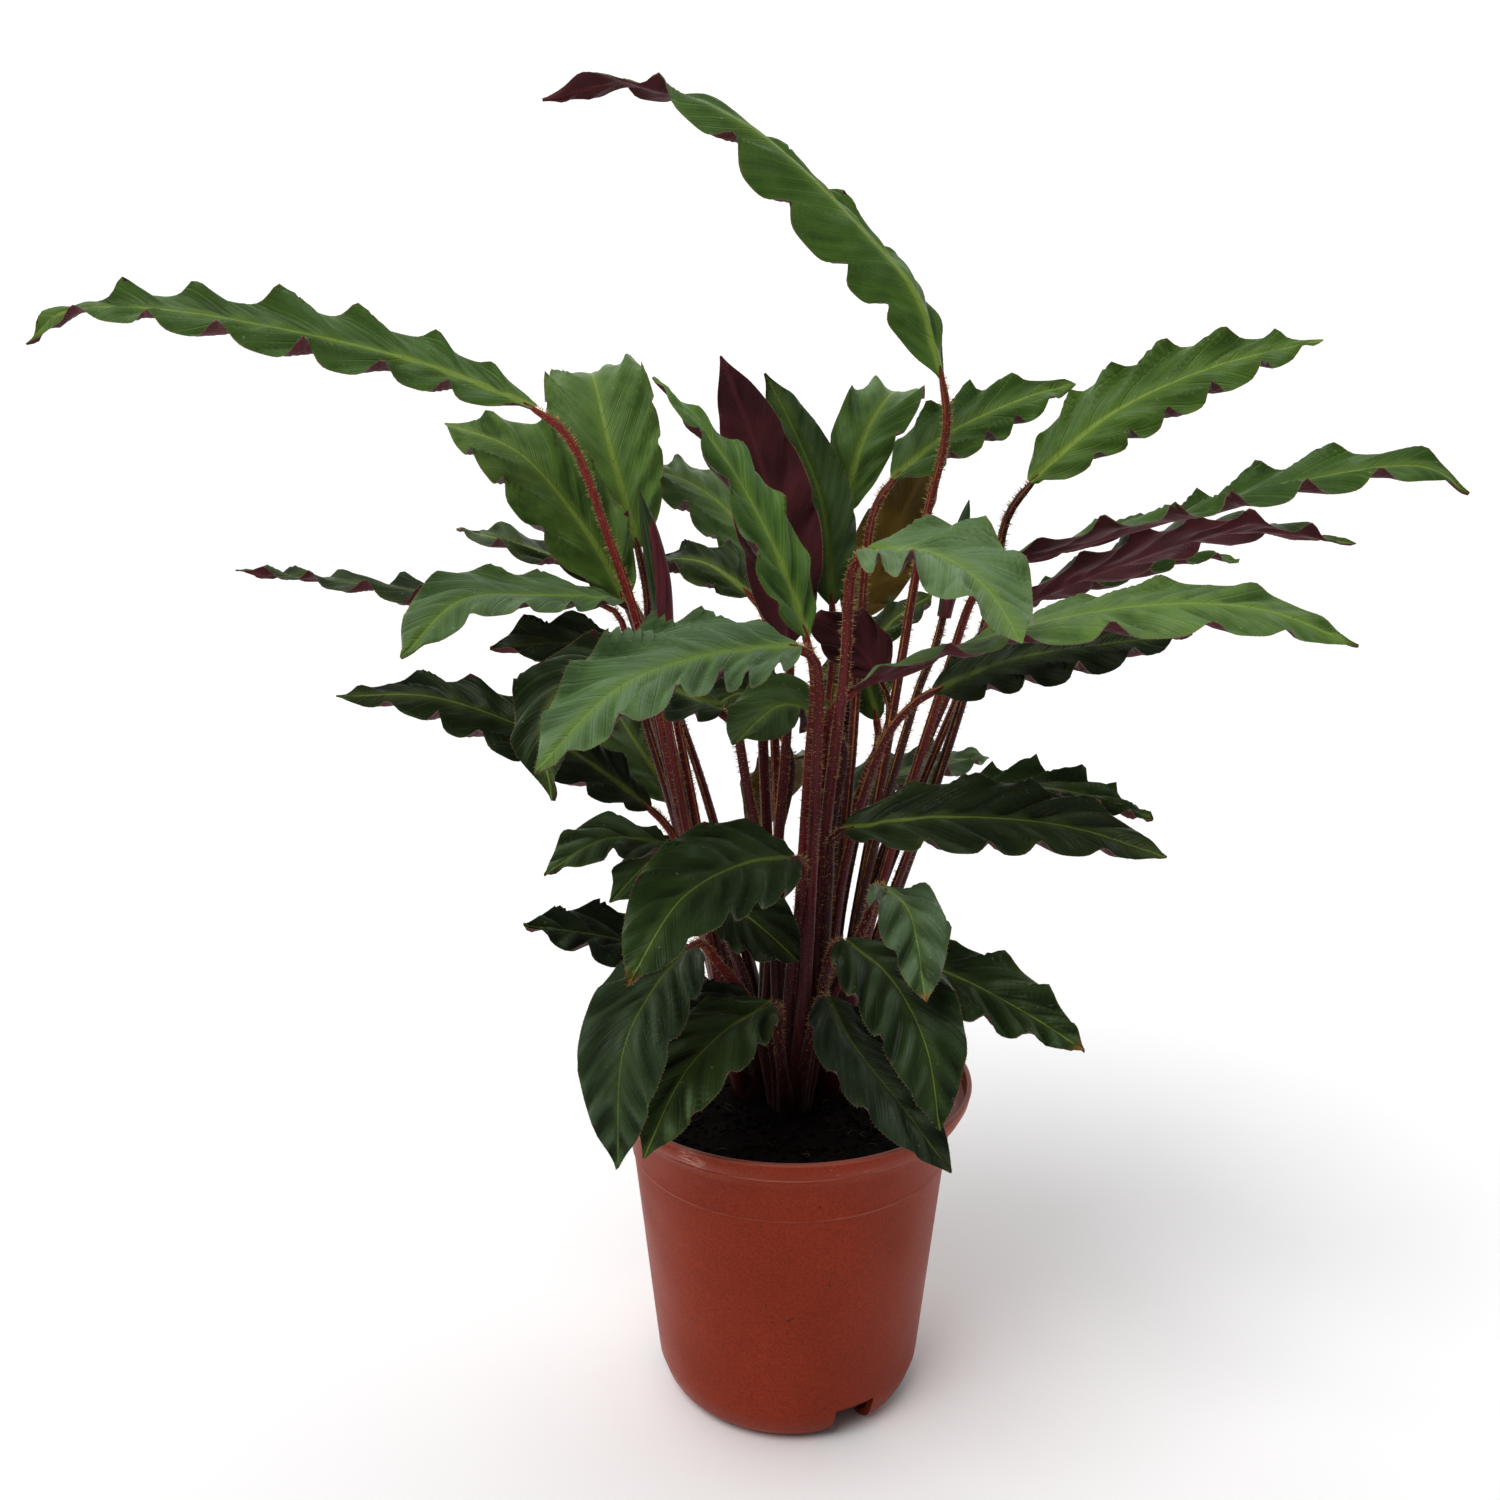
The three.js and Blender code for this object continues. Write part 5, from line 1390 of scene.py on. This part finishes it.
def leaf_underside_material(name, colour, look):
    """The matte lower side, a little paler along its veins and keel."""
    sketch = Sketch(name, sheen=0.2, sheen_tint=(0.9, 0.72, 0.76), specular=0.15)
    place = sketch.object_place()
    across, main, fine = vein_masks(sketch, look)
    share = sketch.split(sketch.uv("leaf_share"))
    cloud = sketch.noise(place, 45, 3)
    body = sketch.mix(sketch.ramp(cloud, 0.3, 0.7), shade(colour, 0.66), shade(colour, 1.2))
    body = sketch.mix(sketch.ramp(main, 0.0, 0.2, 0.2, 0.0), body, shade(colour, 1.6))
    body = sketch.mix(sketch.ramp(fine, 0.0, 0.3, 0.15, 0.0), body, shade(colour, 0.5))
    body = sketch.mix(sketch.ramp(across, 0.6 * MM, 1.6 * MM, 0.5, 0.0), body, shade(colour, 1.5))
    body = sketch.mix(sketch.ramp(share[0], 0.975, 0.99, 0.0, 0.7), body, look.margin)
    normal = sketch.bump(sketch.cells(place, 1300), 0.06 * MM, 0.6)
    normal = sketch.bump(sketch.ramp(fine, 0, 0.5), 0.12 * MM, 0.7, normal)
    return sketch.finish(body, sketch.ramp(cloud, 0.3, 0.7, 0.5, 0.65), normal)


def stalk_material(look):
    """Stalk skin: dark at the foot, partly its own colour and partly painted shade, redder upwards, with fine
    streaks and the pale seams of its sheath.
    """
    sketch = Sketch("stalk skin", sheen=0.15, sheen_tint=(0.95, 0.75, 0.6), specular=0.25)
    place = sketch.object_place()
    spot = sketch.split(sketch.uv("stalk"))
    height = sketch.split(place)[2]
    streak = sketch.noise(sketch.stretched(place, (1.0, 1.0, 0.05)), 800, 3)
    # Dark base to red top: partly the stalk's own colour, partly painted shade low in the clump
    body = sketch.mix(sketch.ramp(height, 0.16, 0.28), look.base, look.middle)
    body = sketch.mix(sketch.ramp(height, 0.28, 0.46), body, look.top)
    tone = sketch.marked("tone")
    body = sketch.mix(sketch.ramp(tone, 0.55, 0.9, 0.0, 0.6), body, look.bright)
    body = sketch.mix(sketch.ramp(tone, 0.5, 0.15, 0.0, 0.75), body, look.base)
    body = sketch.mix(sketch.ramp(streak, 0.5, 0.7, 0.0, 0.3), body, look.top)
    body = sketch.mix(sketch.ramp(streak, 0.5, 0.32, 0.0, 0.4), body, shade(look.base, 0.6))
    from_back = sketch.math("PINGPONG", spot[0], 0.5)
    from_seam = sketch.math("ABSOLUTE", sketch.math("SUBTRACT", from_back, SEAM_TURN))
    fray = sketch.ramp(sketch.noise(place, 300, 2), 0.35, 0.55, 0.25, 0.9)
    fray = sketch.times(fray, sketch.ramp(height, 0.16, 0.27, 0.15, 1.0))
    fray = sketch.times(fray, sketch.ramp(height, 0.32, 0.42, 1.0, 0.4))
    body = sketch.mix(sketch.times(sketch.ramp(from_seam, 0.012, 0.03, 1.0, 0.0), fray), body, look.seam)
    # Painted shade where the stalks crowd together at the soil
    foot = sketch.ramp(height, SOIL_TOP + 16 * MM, SOIL_TOP, 0.0, 0.75)
    body = sketch.mix(foot, body, shade(look.base, 0.3))
    return sketch.finish(body, sketch.ramp(streak, 0.3, 0.7, 0.34, 0.46), sketch.bump(streak, 0.1 * MM, 0.6))


def husk_material(look):
    """Dry, papery scales and the crown between them."""
    sketch = Sketch("husk", specular=0.12)
    place = sketch.object_place()
    streak = sketch.noise(sketch.stretched(place, (1.0, 1.0, 0.1)), 500, 4)
    height = sketch.split(place)[2]
    body = sketch.mix(sketch.ramp(streak, 0.3, 0.7), shade(look.husk, 0.5), look.husk)
    # Painted shade at the crown's foot, by the soil
    foot = sketch.ramp(height, SOIL_TOP, SOIL_TOP + 12 * MM, 0.85, 0.0)
    body = sketch.mix(foot, body, shade(look.base, 0.35))
    return sketch.finish(body, sketch.ramp(streak, 0.3, 0.7, 0.6, 0.85), sketch.bump(streak, 0.3 * MM, 0.7))


def hair_material(look):
    sketch = Sketch("hairs", roughness=0.5, specular=0.4)
    place = sketch.object_place()
    patch = sketch.noise(place, 300, 1)
    body = sketch.mix(sketch.ramp(patch, 0.3, 0.7), shade(look.hair, 0.7), shade(look.hair, 1.2))
    return sketch.finish(body)


def spear_material(look):
    """The rolled leaf: satin burgundy outside, green where its free edge lets the upper side show."""
    sketch = Sketch("rolled leaf", sheen=0.15, sheen_tint=(0.9, 0.8, 0.85), specular=0.3)
    place = sketch.object_place()
    spot = sketch.split(sketch.uv("stalk"))
    streak = sketch.noise(sketch.stretched(place, (1.0, 1.0, 0.08)), 700, 3)
    stripes = sketch.math("PINGPONG", sketch.times(spot[0], 14.0), 0.5)
    green_skin = look.spear_green
    green = sketch.mix(sketch.ramp(stripes, 0.0, 0.4), shade(green_skin, 0.5), shade(green_skin, 1.15))
    burgundy = sketch.mix(sketch.ramp(streak, 0.35, 0.65), shade(look.spear, 0.6), shade(look.spear, 1.1))
    body = sketch.mix(sketch.marked("flap"), green, burgundy)
    return sketch.finish(body, sketch.ramp(streak, 0.3, 0.7, 0.38, 0.52), sketch.bump(streak, 0.12 * MM, 0.6))


def pot_material(sizes):
    """Satin polypropylene: fine mottling and moulded grain, scuffs along the rim, a painted highlight along
    the rim's top edge and a little soil on it.
    """
    sketch = Sketch("terracotta plastic", specular=0.22)
    place = sketch.object_place()
    height = sketch.split(place)[2]
    mottle = sketch.noise(place, 900, 2)
    cloud = sketch.noise(place, 22, 3)
    body = sketch.mix(sketch.ramp(mottle, 0.3, 0.72), sizes.shade_colour, sizes.colour)
    body = sketch.mix(sketch.ramp(cloud, 0.35, 0.7, 0.0, 0.35), body, shade(sizes.shade_colour, 0.85))
    lip_edge = sizes.height - sizes.lip_height + 1.4 * MM
    for level, strength in ((lip_edge, 0.5), (sizes.line_height, 0.3)):
        distance = sketch.math("ABSOLUTE", sketch.math("SUBTRACT", height, level))
        line = sketch.ramp(distance, 0.25 * MM, 0.7 * MM, strength, 0.0)
        worn = sketch.times(line, sketch.ramp(cloud, 0.3, 0.55))
        body = sketch.mix(worn, body, toward(sizes.colour, sizes.scuff_and_highlight_colour, 0.55))
    # Painted highlight along the rim's top edge
    rim_highlight = sketch.ramp(height, sizes.height - 1.6 * MM, sizes.height, 0.0, 0.35)
    body = sketch.mix(rim_highlight, body, toward(sizes.colour, sizes.scuff_and_highlight_colour, 0.5))
    rim_band = sketch.ramp(height, sizes.height - 12 * MM, sizes.height - 8 * MM)
    wear = sketch.noise(sketch.stretched(place, (1.0, 1.0, 7.0)), 150, 6, 0.75)
    scratches = sketch.ramp(wear, 0.63, 0.72, 0.0, 0.8)
    body = sketch.mix(sketch.times(scratches, rim_band), body, sizes.scuff_and_highlight_colour)
    for spot, reach in (((-44, -73, 149), 9), ((34, -77, 132), 10), ((-62, -50, 150), 7)):
        rubbed = sketch.times(sketch.near(place, spot, reach), sketch.ramp(wear, 0.46, 0.58))
        body = sketch.mix(sketch.times(rubbed, 0.8), body, sizes.scuff_and_highlight_colour)
    smudge = sketch.times(sketch.near(place, (16, -54, 3), 9), sketch.ramp(wear, 0.45, 0.52))
    body = sketch.mix(smudge, body, sizes.dirt_colour)
    specks = sketch.ramp(sketch.noise(place, 330, 1), 0.76, 0.8, 0.0, 0.7)
    body = sketch.mix(specks, body, sizes.dirt_colour)
    foot = sketch.times(sketch.ramp(height, 9 * MM, 1 * MM), sketch.ramp(cloud, 0.5, 0.62))
    body = sketch.mix(foot, body, sizes.dirt_colour)
    normal = sketch.bump(mottle, 0.06 * MM, 0.6)
    return sketch.finish(body, sketch.ramp(cloud, 0.3, 0.75, 0.36, 0.5), normal)


def soil_material(look):
    sketch = Sketch("potting soil", specular=0.08)
    place = sketch.object_place()
    grain = sketch.noise(place, 600, 5, 0.7)
    body = sketch.mix(sketch.ramp(grain, 0.45, 0.75), look.colour, look.dry_colour)
    return sketch.finish(body, sketch.ramp(grain, 0.3, 0.7, 0.8, 1.0), sketch.bump(grain, 0.8 * MM, 0.9))


def crumb_material(look):
    sketch = Sketch("soil crumbs", specular=0.08)
    place = sketch.object_place()
    patch = sketch.noise(place, 130, 2)
    grain = sketch.noise(place, 900, 3)
    body = sketch.mix(sketch.ramp(patch, 0.45, 0.7), shade(look.colour, 0.8), look.dry_colour)
    return sketch.finish(body, sketch.ramp(grain, 0.3, 0.7, 0.8, 1.0), sketch.bump(grain, 0.3 * MM, 0.8))


def fibre_material(look):
    sketch = Sketch("fibres", roughness=0.8, specular=0.2)
    place = sketch.object_place()
    patch = sketch.noise(place, 90, 2)
    body = sketch.mix(sketch.ramp(patch, 0.35, 0.65), shade(look.fibre_colour, 0.35), look.fibre_colour)
    return sketch.finish(body)


def floor_material(colour):
    sketch = Sketch("plain floor", roughness=0.9, specular=0.2)
    return sketch.finish(colour)


def add_key_light(stage):
    """A very soft light from above, from the left and a little from the front."""
    lamp = bpy.data.lights.new("key", "SUN")
    lamp.angle = stage.key_width
    lamp.energy = stage.key_strength
    light = bpy.data.objects.new("key", lamp)
    light.rotation_euler = Vector(KEY_DIRECTION).to_track_quat("-Z", "Y").to_euler()
    bpy.context.scene.collection.objects.link(light)


def make_surroundings(stage):
    """A bright wall behind the plant that fades into a dimmer room behind the camera."""
    world = bpy.data.worlds.new("studio")
    world.use_nodes = True
    nodes, links = world.node_tree.nodes, world.node_tree.links
    direction = nodes.new("ShaderNodeSeparateXYZ")
    fade = nodes.new("ShaderNodeMapRange")
    fade.interpolation_type = "SMOOTHSTEP"
    ends = {"From Min": -0.35, "From Max": 0.45, "To Min": stage.front_light, "To Max": stage.back_light}
    for name, value in ends.items():
        fade.inputs[name].default_value = value
    links.new(nodes.new("ShaderNodeTexCoord").outputs["Generated"], direction.inputs[0])
    links.new(direction.outputs["Y"], fade.inputs["Value"])
    links.new(fade.outputs[0], nodes["Background"].inputs["Strength"])
    nodes["Background"].inputs["Color"].default_value = (1, 1, 1, 1)
    bpy.context.scene.world = world


def make_camera(stage):
    camera = bpy.data.cameras.new("camera")
    camera.sensor_width = SENSOR_WIDTH
    camera.lens = LENS
    camera.clip_start = 0.01
    view = bpy.data.objects.new("camera", camera)
    view.location = (CAMERA_SIDE, -stage.camera_distance, stage.camera_height)
    view.rotation_euler = (math.pi / 2 - stage.camera_pitch, 0, 0)
    bpy.context.scene.collection.objects.link(view)
    bpy.context.scene.camera = view


def make_stage(stage):
    bm = bmesh.new()
    bmesh.ops.create_grid(bm, x_segments=2, y_segments=2, size=FLOOR_HALF_SIZE)
    mesh = bpy.data.meshes.new("floor")
    bm.to_mesh(mesh)
    bm.free()
    mesh.materials.append(floor_material(stage.floor_colour))
    floor = bpy.data.objects.new("floor", mesh)
    bpy.context.scene.collection.objects.link(floor)
    make_surroundings(stage)
    add_key_light(stage)
    view = bpy.context.scene.view_settings
    view.view_transform = "Standard"
    view.exposure = EXPOSURE
    view.gamma = GAMMA
    make_camera(stage)


def members_of(clump):
    return [leaf for leaf in (*LEAVES, *SPEARS) if leaf.clump == clump]


class CALATHEA_OT_stage(bpy.types.Operator):
    """Sets up the camera, the soft lights and the plain floor"""
    bl_idname = "calathea.stage"
    bl_label = "Make stage"

    def execute(self, context):
        make_stage(context.scene.calathea_stage)
        return {"FINISHED"}


class CALATHEA_OT_pot(bpy.types.Operator):
    """Makes the nursery pot"""
    bl_idname = "calathea.pot"
    bl_label = "Make pot"

    def execute(self, context):
        make_pot(context.scene.calathea_pot)
        return {"FINISHED"}


class CALATHEA_OT_soil(bpy.types.Operator):
    """Makes the potting soil with its crumbs and fibres"""
    bl_idname = "calathea.soil"
    bl_label = "Make soil"

    def execute(self, context):
        look = context.scene.calathea_soil
        make_soil(look)
        make_crumbs(look)
        make_fibres(look)
        return {"FINISHED"}


class CALATHEA_OT_stalks(bpy.types.Operator):
    """Makes the stalks of every clump, their hairs and the rolled leaves"""
    bl_idname = "calathea.stalks"
    bl_label = "Make stalks"

    def execute(self, context):
        look = context.scene.calathea_stalks
        materials = [stalk_material(look), husk_material(look)]
        hairs = hair_material(look)
        template = cone_template(HAIR_SIDES)
        for clump in CROWNS:
            make_stalk_clump(clump, members_of(clump), materials)
            make_stalk_hairs(clump, members_of(clump), look, template, hairs)
        rolled = spear_material(look)
        for spear in SPEARS:
            make_spear(spear, rolled)
        return {"FINISHED"}


class CALATHEA_OT_leaves(bpy.types.Operator):
    """Makes every leaf blade and the hairs along its margin"""
    bl_idname = "calathea.leaves"
    bl_label = "Make leaves"

    def execute(self, context):
        look = context.scene.calathea_leaves
        tones = ("bright", "green", "dark")
        tops = {tone: leaf_top_material(f"leaf {tone}", getattr(look, tone), look) for tone in tones}
        burgundy = leaf_underside_material("leaf underside", look.underside, look)
        backlit = leaf_underside_material("leaf underside backlit", look.backlit, look)
        blades = {clump: [] for clump in CROWNS}
        for leaf in LEAVES:
            underside = backlit if leaf.name in BACKLIT_LEAVES else burgundy
            blades[leaf.clump].append(make_blade(leaf, look, [tops[leaf.tone], underside]))
        template = cone_template(HAIR_SIDES)
        hairs = hair_material(context.scene.calathea_stalks)
        for clump in CROWNS:
            make_margin_hairs(clump, blades[clump], look, template, hairs)
        return {"FINISHED"}


class CALATHEA_PT_panel(bpy.types.Panel):
    """Lists the sizes, colours and steps of the plant"""
    bl_label = "Calathea"
    bl_idname = "CALATHEA_PT_panel"
    bl_space_type = "VIEW_3D"
    bl_region_type = "UI"
    bl_category = "Calathea"

    def draw(self, context):
        for name, (settings, operators) in STEPS.items():
            box = self.layout.box()
            box.label(text=name.capitalize())
            group = getattr(context.scene, f"calathea_{name}")
            for prop in settings.__annotations__:
                box.prop(group, prop)
            for operator in operators:
                box.operator(operator.bl_idname)


STEPS = {
    "stage": (StageSettings, [CALATHEA_OT_stage]),
    "pot": (PotSettings, [CALATHEA_OT_pot]),
    "soil": (SoilSettings, [CALATHEA_OT_soil]),
    "stalks": (StalkSettings, [CALATHEA_OT_stalks]),
    "leaves": (LeafSettings, [CALATHEA_OT_leaves]),
}


def register():
    for name, (settings, operators) in STEPS.items():
        bpy.utils.register_class(settings)
        for operator in operators:
            bpy.utils.register_class(operator)
        setattr(bpy.types.Scene, f"calathea_{name}", PointerProperty(type=settings))
    bpy.utils.register_class(CALATHEA_PT_panel)


def unregister():
    bpy.utils.unregister_class(CALATHEA_PT_panel)
    for name, (settings, operators) in reversed(STEPS.items()):
        delattr(bpy.types.Scene, f"calathea_{name}")
        for operator in operators:
            bpy.utils.unregister_class(operator)
        bpy.utils.unregister_class(settings)


def main():
    register()
    bpy.ops.calathea.stage()
    bpy.ops.calathea.pot()
    bpy.ops.calathea.soil()
    bpy.ops.calathea.stalks()
    bpy.ops.calathea.leaves()
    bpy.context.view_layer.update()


if __name__ == "__main__":
    main()
